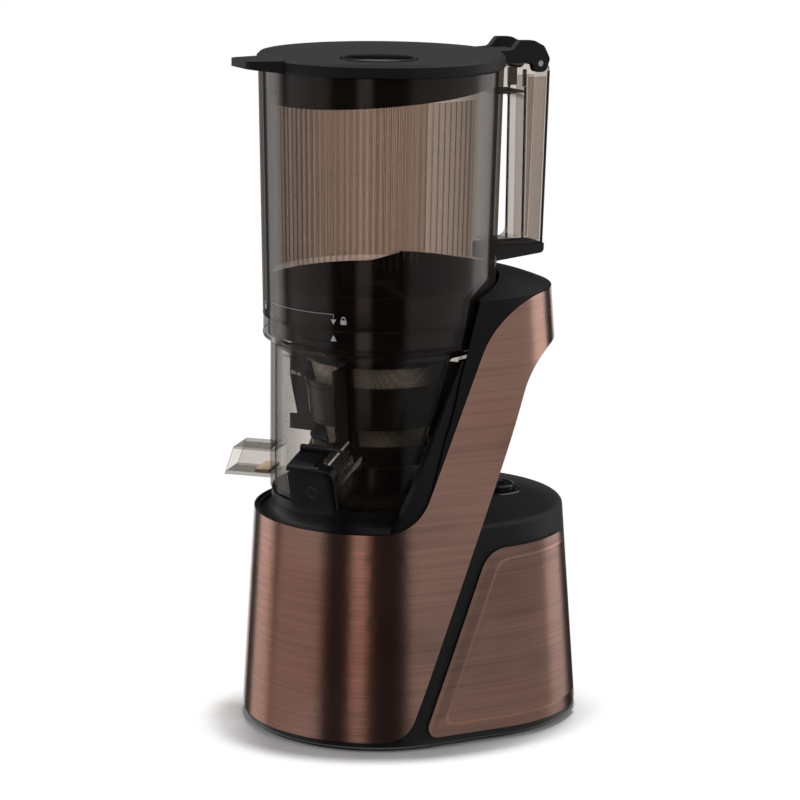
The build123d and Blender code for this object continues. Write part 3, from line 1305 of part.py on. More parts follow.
# ---------------------------------------------------------------- assembly
def build_all():
    keep("copper_front_cover", copper_front_cover())
    keep("rear_panel_right", rear_panel(1))
    keep("rear_panel_left", rear_panel(-1))
    keep("column_frame", column_frame())
    keep("column_back_cover", column_back_cover())
    keep("head_cap", head_cap())
    keep("rear_housing", rear_housing())
    keep("base_pan", base_pan())
    keep("rubber_feet", *rubber_feet())
    keep("base_screws", *base_screws())
    keep("cable_gland", cable_gland())
    keep("dial_bezel", dial_bezel())
    keep("power_dial", power_dial())
    keep("rotary_switch", rotary_switch())
    keep("gearbox_case", gearbox_case())
    keep("gearbox_cover", gearbox_cover())
    keep("shaft_bearings", bearing(CASE_Z + CASE_T), bearing(CASE_TOP_Z + SKIN_GAP))
    keep("motor_housing", motor_housing())
    keep("motor_stator", motor_stator())
    keep("motor_rotor", motor_rotor())
    keep("cooling_fan", cooling_fan())
    keep("idler_gear", idler_gear())
    keep("idler_shaft", idler_shaft())
    keep("output_gear", output_gear())
    keep("drive_shaft", drive_shaft())
    keep("shaft_seal", shaft_seal())
    keep("control_board", control_board())
    keep("juice_drum", juice_drum())
    keep("drum_packing", drum_packing())
    keep("residue_plug", residue_plug())
    keep("juice_cap", juice_cap())
    keep("cap_pin", cap_pin())
    keep("cap_seal", cap_seal())
    keep("strainer_frame", strainer_frame())
    keep("strainer_mesh", strainer_mesh())
    keep("brush_frame", brush_frame())
    keep("brush_wipers", *brush_wipers())
    keep("brush_gear", brush_gear())
    keep("auger", auger())
    keep("cutting_wing", cutting_wing())
    keep("hopper", hopper())
    keep("hopper_ring", hopper_ring())
    keep("handle_insert", handle_insert())
    keep("lid", lid())
    keep("hinge_pin", hinge_pin())


def export_all():
    """Write every node with the origin under the middle of the bounding box."""
    os.makedirs("parts", exist_ok=True)
    boxes = [solid.bounding_box() for solids in parts.values() for solid in solids]
    middle = (min(box.min.Y for box in boxes) + max(box.max.Y for box in boxes)) / 2
    for name, solids in parts.items():
        moved = [solid.moved(Location((0, -middle, 0))) for solid in solids]
        shape = moved[0] if len(moved) == 1 else Compound(moved)
        shape.label = name
        export_step(shape, f"parts/{name}.step")
    print("drive axis at Y =", round(-middle, 4))


build_all()
for name, solids in parts.items():
    print(name, len(solids), round(sum(solid.volume for solid in solids)))
export_all()
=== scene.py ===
# %% [markdown]
# # A cold press juicer, dressed in Blender
# A slow juicer is a leaning metal-skinned body that holds a clear drum with a strainer and a
# screw, and a large clear hopper with a lid and a handle on top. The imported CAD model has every
# solid in its place, so this lesson gives those solids their finishes and adds what they lack:
# the hopper's reeds, the printed marks, the brush cage's bands, the nozzle's cap and the trim of
# the handle and the lid. A small studio lights the whole.

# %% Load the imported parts
import json
import math

import bmesh
import bpy
from mathutils import Matrix, Vector


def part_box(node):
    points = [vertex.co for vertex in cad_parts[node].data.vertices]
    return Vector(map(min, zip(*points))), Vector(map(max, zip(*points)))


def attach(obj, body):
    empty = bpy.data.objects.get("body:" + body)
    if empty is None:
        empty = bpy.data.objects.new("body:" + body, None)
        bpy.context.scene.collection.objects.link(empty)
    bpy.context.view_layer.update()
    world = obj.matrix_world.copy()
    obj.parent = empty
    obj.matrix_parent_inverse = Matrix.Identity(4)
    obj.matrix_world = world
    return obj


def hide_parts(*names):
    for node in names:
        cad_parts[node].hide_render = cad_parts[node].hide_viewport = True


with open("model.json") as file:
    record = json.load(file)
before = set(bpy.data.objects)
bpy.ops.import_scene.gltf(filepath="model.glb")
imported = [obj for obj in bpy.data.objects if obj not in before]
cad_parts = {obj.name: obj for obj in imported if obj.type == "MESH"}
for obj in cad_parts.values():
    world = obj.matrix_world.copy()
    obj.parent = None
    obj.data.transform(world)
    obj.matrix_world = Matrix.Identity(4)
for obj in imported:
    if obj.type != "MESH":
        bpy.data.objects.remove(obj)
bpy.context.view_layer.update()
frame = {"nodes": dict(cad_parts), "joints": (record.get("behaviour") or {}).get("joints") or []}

nodes = frame["nodes"]
print("packed parts:", len(nodes))

# %% [markdown]
# ## Sizes that several pieces share
# The drum and the hopper stand round one upright line, the drive axis, which is read from the
# record's joint. Heights and the hopper's upper radius come from the boxes of the CAD parts.
# Lengths are metres, and MM turns millimetres into them.

# %% The drive axis and the clear walls
drive = next(joint for joint in frame["joints"] if joint["name"] == "drive_spin")
AXIS_Y = drive["pos_m"][1]
MM = 0.001
WALL = 3 * MM
EAR_RISE = 5 * MM

hopper_low_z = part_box("hopper")[0].z
hopper_top_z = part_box("hopper")[1].z - EAR_RISE
hopper_low_r = 77.0 * MM
hopper_top_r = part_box("hopper")[1].x
drum_r = 72.0 * MM
collar_r = 76.8 * MM


def hopper_radius(z):
    """Outside of the hopper's wall at a height."""
    share = (z - hopper_low_z) / (hopper_top_z - hopper_low_z)
    return hopper_low_r + share * (hopper_top_r - hopper_low_r)


def round_axis(radius, angle, z):
    """A point round the drive axis; the angle runs from the front towards +X, in degrees."""
    turn = math.radians(angle)
    return Vector((radius * math.sin(turn), AXIS_Y - radius * math.cos(turn), z))


print("hopper wall radius low and high:", round(hopper_low_r, 4), round(hopper_top_r, 4))

# %% [markdown]
# ## Writing shader sums as plain Python
# A procedural finish is mostly arithmetic on a few noise patterns, which Math nodes wired by hand
# would hide. So a Wire stands for one output socket and knows +, -, *, ** and the larger of two,
# and a Finish is one material that makes every other node through a single method.


# %% Wires and finishes
def wire_up(tree, kind, settings=None, inputs=None):
    """One node of a tree, with its settings and then its inputs."""
    made = tree.nodes.new(kind)
    for name, value in (settings or {}).items():
        setattr(made, name, value)
    for name, value in (inputs or {}).items():
        if isinstance(value, bpy.types.NodeSocket):
            tree.links.new(value, made.inputs[name])
        else:
            made.inputs[name].default_value = value
    return made


class Wire:
    """An output socket that can be used in sums."""

    def __init__(self, finish, socket):
        self.finish = finish
        self.socket = socket

    def maths(self, operation, first, second):
        made = self.finish.node("ShaderNodeMath", {"operation": operation}, {0: first, 1: second})
        return Wire(self.finish, made.outputs[0])

    def __add__(self, other):
        return self.maths("ADD", self, other)

    def __sub__(self, other):
        return self.maths("SUBTRACT", self, other)

    def __rsub__(self, other):
        return self.maths("SUBTRACT", other, self)

    def __mul__(self, other):
        return self.maths("MULTIPLY", self, other)

    def __pow__(self, other):
        return self.maths("POWER", self, other)

    def larger(self, other):
        return self.maths("MAXIMUM", self, other)

    __radd__ = __add__
    __rmul__ = __mul__


class Finish:
    """One material, built node by node."""

    def __init__(self, name):
        self.material = bpy.data.materials.new(name)
        self.material.use_nodes = True
        self.tree = self.material.node_tree
        self.tree.nodes.clear()

    def node(self, kind, settings=None, inputs=None):
        plain = {name: value.socket if isinstance(value, Wire) else value
                 for name, value in (inputs or {}).items()}
        return wire_up(self.tree, kind, settings, plain)

    def out(self, made, name=0):
        return Wire(self, made.outputs[name])

    def place(self):
        """Object coordinates, which are the machine's own metres."""
        return self.out(self.node("ShaderNodeTexCoord"), "Object")

    def noise(self, scale, detail=3.0, shift=(0.0, 0.0, 0.0)):
        moved = self.node("ShaderNodeMapping", {}, {
            "Vector": self.place(), "Scale": scale, "Location": shift})
        made = self.node("ShaderNodeTexNoise", {}, {
            "Vector": self.out(moved), "Scale": 1.0, "Detail": detail})
        return self.out(made, "Fac")

    def cells(self, scale, low, high, randomness=1.0):
        """Voronoi cells: 0 in their middles, 1 between them."""
        made = self.node("ShaderNodeTexVoronoi", {}, {
            "Vector": self.place(), "Scale": scale, "Randomness": randomness})
        return self.between(self.out(made, "Distance"), low, high)

    def between(self, wire, low, high):
        """0 below low, 1 above high, smooth between."""
        made = self.node("ShaderNodeMapRange", {"interpolation_type": "SMOOTHSTEP"}, {
            "Value": wire, "From Min": low, "From Max": high})
        return self.out(made, "Result")

    def mix(self, share, first, second):
        """Two colours, mixed by a share."""
        first, second = (c if isinstance(c, Wire) else (*c, 1) for c in (first, second))
        made = self.node("ShaderNodeMix", {"data_type": "RGBA"}, {0: share, 6: first, 7: second})
        return self.out(made, 2)

    def blend(self, share, first, second):
        """Two shaders, mixed by a share."""
        return self.out(self.node("ShaderNodeMixShader", {}, {"Fac": share, 1: first, 2: second}))

    def bump(self, height, distance, strength):
        made = self.node("ShaderNodeBump", {}, {
            "Height": height, "Distance": distance, "Strength": strength})
        return self.out(made, "Normal")

    def surface(self, inputs):
        return self.out(self.node("ShaderNodeBsdfPrincipled", {}, inputs), "BSDF")

    def done(self, shader):
        self.node("ShaderNodeOutputMaterial", {}, {"Surface": shader})
        print(self.material.name, "nodes:", len(self.tree.nodes))
        return self.material


# %% [markdown]
# ## Brushed copper
# The body is skinned in copper-brown sheet, brushed along the horizontal. A noise that is
# stretched sideways gives both the scratches that are seen and the tiny height steps that smear
# reflections. Slow clouds of rust and a darker umber are the patina. The pressed panels take the
# same finish a little deeper, with a painted highlight along their fold: paler copper where the
# pressed border would catch the light.


# %% The copper skin
COPPER = (0.43, 0.245, 0.195)
RUST = (0.40, 0.195, 0.145)
UMBER = (0.19, 0.125, 0.105)
# The paler copper below is a painted highlight along the panels' pressed fold.
FOLD_HIGHLIGHT = (0.66, 0.33, 0.22)
PANEL_SHADE = 0.80
SCRATCH_DEPTH = 0.06 * MM
PRESS_DEPTH = 1.7 * MM


def brushed_copper(name, crease=None):
    finish = Finish(name)
    deeper = PANEL_SHADE if crease else 1.0
    bright, warm, dark = (tuple(c * deeper for c in shade) for shade in (COPPER, RUST, UMBER))
    hairlines = finish.noise((16.0, 16.0, 1500.0), 2.0)
    streaks = finish.noise((5.0, 5.0, 420.0), 3.0, (3.1, 0.7, 0.0))
    clouds = finish.noise((7.0, 7.0, 13.0), 3.0, (0.4, 2.3, 1.7))
    lines = hairlines * 0.6 + streaks * 0.4
    stain = finish.between(clouds * 0.8 + streaks * 0.2, 0.46, 0.72)
    blush = finish.between(finish.noise((4.5, 4.5, 9.0), 2.0, (5.2, 1.1, 0.8)), 0.44, 0.60)
    metal = finish.mix(blush, bright, warm)
    metal = finish.mix(stain * 0.70, metal, dark)
    metal = finish.mix(finish.between(lines, 0.40, 0.70) * 0.35, metal, dark)
    if crease:
        rise = crease(finish)
        # A paler band by the fold is a painted highlight, where the pressed border would catch the
        # light.
        fold = finish.between(rise, 0.70, 0.92) * (1.0 - finish.between(rise, 0.96, 1.0))
        metal = finish.mix(fold * 0.45, metal, FOLD_HIGHLIGHT)
        normal = finish.bump(rise + lines * 0.03, PRESS_DEPTH, 1.0)
    else:
        normal = finish.bump(lines, SCRATCH_DEPTH, 0.5)
    return finish.done(finish.surface({
        "Base Color": metal,
        "Metallic": 1.0,
        "Roughness": 0.15 + lines * 0.10,
        "Normal": normal,
    }))


copper_skin = brushed_copper("brushed_copper")

# %% [markdown]
# ## The rear panels' pressed border
# The rear panels' middle stands a little proud and their border slopes back for about 8 mm. The
# CAD panels are plain, so the slope is a bump: the distances from the front, upper and lower edge
# come from the position, and a smooth minimum of the three rounds the crease's corners.

# %% The pressed rear panels
BORDER = 8.5 * MM
REAR_CORNER = 8 * MM
FRONT_CORNER = 12 * MM
PANEL_LEAN = math.radians(67.8)


def panel_border(finish):
    low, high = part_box("rear_panel_right")
    split = finish.node("ShaderNodeSeparateXYZ", {}, {"Vector": finish.place()})
    y, z = finish.out(split, "Y"), finish.out(split, "Z")
    front_edge = ((y - low.y) - (z - low.z) * (1 / math.tan(PANEL_LEAN))) * math.sin(PANEL_LEAN)
    nearest = high.z - z
    for edge, corner in ((z - low.z, REAR_CORNER), (front_edge, FRONT_CORNER)):
        nearest = finish.out(finish.node("ShaderNodeMath", {"operation": "SMOOTH_MIN"}, {
            0: nearest, 1: edge, 2: corner}))
    rise = finish.node("ShaderNodeMapRange", {}, {
        "Value": nearest, "From Min": 0.0, "From Max": BORDER})
    return finish.out(rise, "Result")


copper_panel = brushed_copper("brushed_copper_panel", panel_border)
print("border width in mm:", round(BORDER / MM, 1))

# %% [markdown]
# ## Moulded plastics
# Most of the machine is black plastic, but not one black: the column is satin, the shoulder and
# the head are soft to the touch and scatter light, and the cap and the funnel are polished.
# One function makes them all from a base colour, a roughness and the grain of the mould.


# %% Moulded plastics
def moulded(name, shade, roughness, grain, depth, gloss=0.5):
    finish = Finish(name)
    pits = finish.noise((grain, grain, grain))
    wipe = finish.noise((14.0, 14.0, 22.0), 3.0, (1.3, 4.2, 0.6))
    darker = tuple(c * 0.72 for c in shade)
    lighter = tuple(c * 1.3 for c in shade)
    colour = finish.mix(pits * 0.6 + wipe * 0.4, darker, lighter)
    return finish.done(finish.surface({
        "Base Color": colour,
        "Roughness": roughness * 0.8 + wipe * roughness * 0.4,
        "Specular IOR Level": gloss,
        "Normal": finish.bump(pits, depth, 0.6),
    }))


satin_black = moulded("satin_black", (0.007, 0.007, 0.008), 0.34, 900.0, 0.00002, 0.4)
column_black = moulded("column_black", (0.005, 0.005, 0.006), 0.40, 1200.0, 0.00003, 0.24)
soft_black = moulded("soft_touch_black", (0.013, 0.013, 0.014), 0.60, 1500.0, 0.00006, 0.3)
lid_black = moulded("lid_black", (0.0095, 0.0095, 0.010), 0.52, 1400.0, 0.00004, 0.3)
polished_black = moulded("polished_black", (0.006, 0.006, 0.006), 0.13, 160.0, 0.00001, 0.4)
cap_black = moulded("cap_black", (0.0035, 0.0035, 0.0035), 0.20, 400.0, 0.00002, 0.2)
resin_black = moulded("resin_black", (0.008, 0.008, 0.008), 0.24, 700.0, 0.00003, 0.4)
rubber_black = moulded("foot_rubber", (0.018, 0.018, 0.018), 0.80, 1300.0, 0.00005, 0.3)
seal_grey = moulded("seal_silicone", (0.16, 0.16, 0.155), 0.55, 500.0, 0.00004)
plug_amber = moulded("plug_silicone", (0.62, 0.50, 0.38), 0.45, 500.0, 0.00004)
seal_dark = moulded("dark_silicone", (0.040, 0.036, 0.033), 0.50, 500.0, 0.00004)
nylon_white = moulded("natural_nylon", (0.70, 0.68, 0.62), 0.42, 600.0, 0.00004)
board_green = moulded("circuit_board", (0.020, 0.110, 0.050), 0.45, 2500.0, 0.00003)

# %% [markdown]
# ## The head's stippled top
# The cap behind the hopper has a fine stipple. Cells of a Voronoi pattern make a better one than
# noise, because every dimple has the same size and its own rim.


# %% The stippled head
def stippled_black(name):
    finish = Finish(name)
    dimples = finish.cells(720.0, 0.15, 0.62)
    wipe = finish.noise((12.0, 12.0, 16.0), 2.0)
    colour = finish.mix(dimples, (0.009, 0.009, 0.010), (0.005, 0.005, 0.005))
    return finish.done(finish.surface({
        "Base Color": colour,
        "Roughness": 0.5 + wipe * 0.2,
        "Specular IOR Level": 0.22,
        "Normal": finish.bump(dimples, 0.00012, 0.7),
    }))


head_black = stippled_black("stippled_black")

# %% [markdown]
# ## Metals inside and out
# Turned, plated and polished metals differ in colour and in how their fine marks run, so one
# function takes the stretch of the marks.


# %% Steels and windings
def metal(name, shade, roughness, stretch, depth):
    finish = Finish(name)
    marks = finish.noise(stretch)
    stain = finish.noise((30.0, 30.0, 30.0), 3.0, (2.0, 0.3, 1.1))
    darker = tuple(c * 0.7 for c in shade)
    return finish.done(finish.surface({
        "Base Color": finish.mix(marks * 0.6 + stain * 0.4, shade, darker),
        "Metallic": 1.0,
        "Roughness": roughness * 0.75 + marks * roughness * 0.5,
        "Normal": finish.bump(marks, depth, 0.5),
    }))


turned_steel = metal("turned_steel", (0.62, 0.61, 0.60), 0.24, (200.0, 200.0, 2600.0), 0.00002)
plated_can = metal("plated_can", (0.50, 0.50, 0.51), 0.34, (90.0, 90.0, 400.0), 0.00002)
copper_wire = metal("enamelled_wire", (0.58, 0.27, 0.13), 0.30, (300.0, 300.0, 1800.0), 0.0001)
dial_rim = metal("dial_rim", (0.16, 0.155, 0.15), 0.22, (150.0, 150.0, 1500.0), 0.00001)

# %% [markdown]
# ## Perforated steel
# The strainer's wall is thin steel with fine round holes, too many to cut. They are the cells of
# a Voronoi pattern with little randomness, and the alpha falls inside each of them.


# %% The strainer's perforated steel
def perforated(name):
    finish = Finish(name)
    steel = finish.cells(620.0, 0.30, 0.40, 0.2)
    stain = finish.noise((40.0, 40.0, 60.0))
    return finish.done(finish.surface({
        "Base Color": finish.mix(stain, (0.93, 0.85, 0.74), (0.76, 0.68, 0.58)),
        "Metallic": 0.20,
        "Roughness": 0.30 + stain * 0.15,
        "Alpha": 0.30 + steel * 0.70,
        "Normal": finish.bump(steel, 0.00008, 0.6),
    }))


strainer_steel = perforated("perforated_steel")

# %% [markdown]
# ## Smoked clear plastic
# The drum and the hopper are clear plastic with a brown smoke in it. A thin even wall hardly bends
# a view, so each face is a mix of a tinted transparent shader and a dark glossy one. Layer
# Weight's facing value grows towards the edge of a round wall, where light crosses more plastic,
# and the mix follows it, so that rims, ribs and corners draw their own dark lines. The last few
# degrees turn to a dull dark shader, because there the plastic's depth hides the reflection.


# %% Smoked clear plastic
def smoked(name, tint, base_cover, edge_cover, edge_power, limb, ior):
    """A tinted clear wall; cover is the gloss's share, face on and towards the edge."""
    finish = Finish(name)
    facing = finish.out(finish.node("ShaderNodeLayerWeight", {}, {"Blend": 0.5}), "Facing")
    flow = finish.noise((18.0, 18.0, 5.0), 2.0)
    cover = base_cover + (facing ** edge_power) * edge_cover + flow * 0.03
    clear = finish.out(finish.node("ShaderNodeBsdfTransparent", {}, {"Color": (*tint, 1)}))
    gloss = finish.surface({
        "Base Color": finish.mix(flow, (0.020, 0.015, 0.012), (0.032, 0.024, 0.019)),
        "Roughness": 0.03 + flow * 0.05,
        "IOR": ior,
    })
    if limb:
        dull = finish.surface({
            "Base Color": finish.mix(flow, (0.026, 0.022, 0.020), (0.040, 0.034, 0.031)),
            "Roughness": 0.5 + flow * 0.1,
            "Specular IOR Level": 0.0,
        })
        gloss = finish.blend(finish.between(facing, 0.61, 0.72) * limb, gloss, dull)
    return finish.done(finish.blend(cover, clear, gloss))


smoked_clear = smoked("smoked_clear", (0.865, 0.822, 0.79), 0.09, 0.90, 1.8, 0.80, 2.2)
drum_clear = smoked("drum_clear", (0.945, 0.925, 0.905), 0.06, 0.80, 2.2, 0.55, 2.2)
smoked_reed = smoked("smoked_reed", (0.79, 0.71, 0.66), 0.0, 1.0, 1.5, 0.0, 2.2)
# The deepest smoke tints the handle's thick panes and the hopper's catch, and on the grip's corner
# beads it paints dark lines of shade.
deep_smoke_and_shade_lines = smoked("deep_smoke_and_shade_lines", (0.50, 0.46, 0.43), 0.72, 0.26, 1.0, 0.0, 1.8)

# %% [markdown]
# ## Giving each CAD part its finish
# A CAD part keeps its own mesh. Only its material slots are filled, so the solids, the physics
# and the picture stay one model.

# %% Finishes by part
finishes = {
    copper_skin: "copper_front_cover",
    copper_panel: "rear_panel_right rear_panel_left",
    column_black: "column_frame column_back_cover",
    satin_black: "base_pan cooling_fan",
    soft_black: "rear_housing",
    lid_black: "lid",
    head_black: "head_cap",
    polished_black: "hopper_ring handle_insert juice_cap power_dial rotary_switch",
    resin_black: "cap_pin strainer_frame brush_frame brush_gear auger cutting_wing",
    rubber_black: "rubber_feet cable_gland",
    seal_grey: "drum_packing cap_seal",
    seal_dark: "brush_wipers shaft_seal",
    plug_amber: "residue_plug",
    nylon_white: "gearbox_case gearbox_cover idler_gear output_gear",
    board_green: "control_board",
    turned_steel: "base_screws shaft_bearings motor_rotor idler_shaft drive_shaft hinge_pin",
    plated_can: "motor_housing",
    copper_wire: "motor_stator",
    dial_rim: "dial_bezel",
    strainer_steel: "strainer_mesh",
    smoked_clear: "hopper",
    drum_clear: "juice_drum",
}
for finish_material, names in finishes.items():
    for name in names.split():
        nodes[name].data.materials.clear()
        nodes[name].data.materials.append(finish_material)
left_plain = set(nodes) - set(" ".join(finishes.values()).split())
print("parts without a finish:", sorted(left_plain))

# %% [markdown]
# ## Geometry Nodes from Python
# The hopper's reeds repeat one small shape round a circle, which is a job for Geometry Nodes. A
# tree is a group with named inputs, and wire_up adds its nodes too. One helper opens it, another
# runs it on an empty mesh, fixes the result as a plain mesh and throws the modifier away.


# %% Opening and running a tree
def show(made):
    """Puts an object into the scene."""
    bpy.context.scene.collection.objects.link(made)
    return made


def open_tree(name, sizes):
    """A geometry tree with the named number inputs, and its input and output nodes."""
    tree = bpy.data.node_groups.new(name, "GeometryNodeTree")
    tree.interface.new_socket("Geometry", in_out="OUTPUT", socket_type="NodeSocketGeometry")
    for label, value in sizes.items():
        kind = "NodeSocketInt" if isinstance(value, int) else "NodeSocketFloat"
        if isinstance(value, bpy.types.Material):
            kind = "NodeSocketMaterial"
        tree.interface.new_socket(label, in_out="INPUT", socket_type=kind)
    return tree, tree.nodes.new("NodeGroupInput"), tree.nodes.new("NodeGroupOutput")


def run_tree(name, tree, sizes):
    """The tree's result as a plain mesh object."""
    seed = show(bpy.data.objects.new(name + "_seed", bpy.data.meshes.new(name + "_seed")))
    modifier = seed.modifiers.new("shape", "NODES")
    modifier.node_group = tree
    for item in tree.interface.items_tree:
        if item.item_type == "SOCKET" and item.in_out == "INPUT":
            modifier[item.identifier] = sizes[item.name]
    bpy.context.view_layer.update()
    graph = bpy.context.evaluated_depsgraph_get()
    mesh = bpy.data.meshes.new_from_object(seed.evaluated_get(graph))
    bpy.data.objects.remove(seed)
    print(name, "faces:", len(mesh.polygons))
    return show(bpy.data.objects.new(name, mesh))


# %% [markdown]
# ## The reeded wall of the hopper
# The inside of the clear hopper is reeded: upright half-round ribs side by side over both
# flanks, with a smooth stretch left at the front and at the handle. One reed is a half circle
# swept from its foot to its head, and the tree stands copies of it round the wall by an even
# step, leaning with the wall's flare.


# %% Reeds of the hopper
def reed_tree(sizes):
    tree, given, result = open_tree("reeds", sizes)

    def add(kind, settings=None, inputs=None):
        """A new node's first output."""
        return wire_up(tree, kind, settings, inputs).outputs[0]

    def sums(operation, first, second=0.0, third=0.0):
        return add("ShaderNodeMath", {"operation": operation}, {0: first, 1: second, 2: third})

    flat = add("GeometryNodeMeshGrid", {}, {
        "Size X": 1.0, "Size Y": 1.0, "Vertices X": 11, "Vertices Y": 2})
    spot = wire_up(tree, "ShaderNodeSeparateXYZ", {}, {0: add("GeometryNodeInputPosition")})
    arc = sums("MULTIPLY", sums("ADD", spot.outputs["X"], 0.5), math.pi)
    aside = sums("MULTIPLY", sums("COSINE", arc), given.outputs["Reed Radius"])
    proud = sums("MULTIPLY", sums("SINE", arc), given.outputs["Reed Radius"])
    rise = sums("ADD", spot.outputs["Y"], 0.5)

    def along(low, high):
        run = sums("SUBTRACT", given.outputs[high], given.outputs[low])
        return sums("MULTIPLY_ADD", rise, run, given.outputs[low])

    bent = add("ShaderNodeCombineXYZ", {}, {
        "X": aside,
        "Y": sums("SUBTRACT", proud, along("Low Radius", "High Radius")),
        "Z": along("Low Height", "High Height")})
    reed = add("GeometryNodeSetPosition", {}, {"Geometry": flat, "Position": bent})
    posts = add("GeometryNodePoints", {}, {"Count": given.outputs["Count"]})
    index = add("GeometryNodeInputIndex")
    turned = sums("MULTIPLY_ADD", index, given.outputs["Step"], given.outputs["First Angle"])
    spin = add("FunctionNodeAxisAngleToRotation", {}, {
        "Axis": (0.0, 0.0, 1.0), "Angle": sums("RADIANS", turned)})
    copies = add("GeometryNodeInstanceOnPoints", {}, {
        "Points": posts, "Instance": reed, "Rotation": spin})
    moved = add("GeometryNodeTransform", {}, {
        "Geometry": copies, "Translation": (0.0, AXIS_Y, 0.0)})
    real = add("GeometryNodeRealizeInstances", {}, {"Geometry": moved})
    smooth = add("GeometryNodeSetShadeSmooth", {}, {"Geometry": real})
    painted = add("GeometryNodeSetMaterial", {}, {
        "Geometry": smooth, "Material": given.outputs["Finish"]})
    tree.links.new(painted, result.inputs[0])
    return tree


REED_LOW, REED_HIGH = 0.3035, 0.4245
REED_START = 17.0
REED_STEP = 3.33
RIGHT_REEDS, LEFT_REEDS = 30, 38
reed_sizes = {
    "Count": RIGHT_REEDS,
    "First Angle": REED_START,
    "Step": REED_STEP,
    "Low Radius": hopper_radius(REED_LOW) - WALL,
    "High Radius": hopper_radius(REED_HIGH) - WALL,
    "Low Height": REED_LOW,
    "High Height": REED_HIGH,
    "Reed Radius": 2.05 * MM,
    "Finish": smoked_reed,
}
reeds = reed_tree(reed_sizes)
for side, first, count in (("right", REED_START, RIGHT_REEDS),
                           ("left", -REED_START - REED_STEP * (LEFT_REEDS - 1), LEFT_REEDS)):
    made = run_tree("hopper_reeds_" + side, reeds, {
        **reed_sizes, "First Angle": first, "Count": count})
    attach(made, "hopper")

# %% [markdown]
# ## Printed marks
# The wall carries a few printed marks: an arrow line from the open to the locked place, two
# triangles that meet when the hopper is home, a shut and an open padlock, and a scale of juice up
# the drum. Each mark is drawn flat, in millimetres, as rings of points, and then wrapped on its
# wall, a tenth of a millimetre proud. Long edges are cut first, so that they bend with the wall.


# %% Wrapping a flat drawing on a wall
printed_white = moulded("printed_white", (0.66, 0.66, 0.66), 0.5, 900.0, 0.00001)
PROUD = 0.12 * MM
LONG_EDGE = 2.5


def placed(name, mesh, finish_material):
    """A finished bmesh as an object that sits at the origin."""
    data = bpy.data.meshes.new(name)
    mesh.to_mesh(data)
    mesh.free()
    data.materials.append(finish_material)
    return show(bpy.data.objects.new(name, data))


def wrapped(name, shapes, angle, z, radius, ride):
    """Flat shapes in millimetres, wrapped on a wall of the given radius as one mesh."""
    mesh = bmesh.new()
    for shape in shapes:
        mesh.faces.new([mesh.verts.new((x, 0.0, up)) for x, up in shape])
    bmesh.ops.triangulate(mesh, faces=mesh.faces[:])
    for _ in range(3):
        long_edges = [edge for edge in mesh.edges if edge.calc_length() > LONG_EDGE]
        if long_edges:
            bmesh.ops.subdivide_edges(mesh, edges=long_edges, cuts=1)
            bmesh.ops.triangulate(mesh, faces=mesh.faces[:])
    for vert in mesh.verts:
        height = z + vert.co.z * MM
        reach = radius(height) + PROUD
        turn = angle + math.degrees(vert.co.x * MM / reach)
        vert.co = round_axis(reach, turn, height)
    mesh.normal_update()
    for face in mesh.faces:
        middle = face.calc_center_median()
        if face.normal.dot(middle - Vector((0, AXIS_Y, middle.z))) < 0:
            face.normal_flip()
    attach(placed(name, mesh, printed_white), ride)


def bar(x0, z0, x1, z1):
    """A flat rectangle from corner to corner."""
    return [(x0, z0), (x1, z0), (x1, z1), (x0, z1)]


def padlock(shift):
    """A padlock: its body and a shackle of short bars, shifted aside when it is open."""
    shapes = [bar(-2.0, -2.2, 2.0, 0.6)]
    for step in range(8):
        first, last = math.pi * step / 8, math.pi * (step + 1) / 8
        ring = [(math.cos(a) * r - shift, 0.9 + math.sin(a) * r * 1.3)
                for r, a in ((1.55, first), (1.55, last), (0.95, last), (0.95, first))]
        shapes.append(ring)
    return shapes


print("print stands proud by mm:", round(PROUD / MM, 2))

# %% [markdown]
# The arrow line runs level round the hopper from the open mark, then drops into the triangle
# that points at the drum's own mark.

# %% Marks on the hopper and the collar
LINE_Z = 0.2888
PADLOCK_Z = 0.2850
COLLAR_MARK_Z = 0.2735
LINE_START, MARK_ANGLE = -1.5, 41.0
LOCKED_ANGLE, OPEN_ANGLE = 46.1, -11.1
LINE_WIDTH = 0.32

span = math.radians(MARK_ANGLE - LINE_START) * hopper_radius(LINE_Z) / MM
lock_marks = [
    bar(-span, 0.0, 0.0, LINE_WIDTH),
    bar(-LINE_WIDTH / 2, -2.6, LINE_WIDTH / 2, 0.3),
    bar(-span, -1.4, -span + LINE_WIDTH, 0.0),
    [(-2.0, -3.0), (0.0, -6.4), (2.0, -3.0)],
]
wrapped("lock_line", lock_marks, MARK_ANGLE, LINE_Z, hopper_radius, "hopper")
wrapped("locked_mark", padlock(0.0), LOCKED_ANGLE, PADLOCK_Z, hopper_radius, "hopper")
wrapped("open_mark", padlock(0.9), OPEN_ANGLE, PADLOCK_Z, hopper_radius, "hopper")
wrapped("collar_mark", [[(-2.1, -2.0), (2.1, -2.0), (0.0, 2.0)]], MARK_ANGLE, COLLAR_MARK_Z,
        lambda z: collar_r, "bowl")
print("arrow line length in mm:", round(span, 1))

# %% [markdown]
# The scale up the drum is another repeat: a tick every few millimetres, with every fifth tick
# longer. Its figures are plain numbers, made with Blender's own font and turned into a mesh
# before they are wrapped.


# %% The drum's scale
def figures(text, height):
    """A text's outline as flat triangles in millimetres."""
    words = bpy.data.curves.new("figures", "FONT")
    words.body = text
    words.size = height
    words.align_x = "LEFT"
    words.align_y = "CENTER"
    holder = show(bpy.data.objects.new("figures", words))
    bpy.context.view_layer.update()
    mesh = bpy.data.meshes.new_from_object(holder)
    shapes = [[tuple(mesh.vertices[i].co.xy) for i in face.vertices] for face in mesh.polygons]
    bpy.data.objects.remove(holder)
    return shapes


SCALE_LOW, SCALE_HIGH = 0.1860, 0.2455
SCALE_ANGLE, FIGURES_ANGLE = 7.5, 10.8
STEPS, LONG_EVERY = 15, 5
HALF_TICK = 0.13
FIGURE_HEIGHT = 3.4

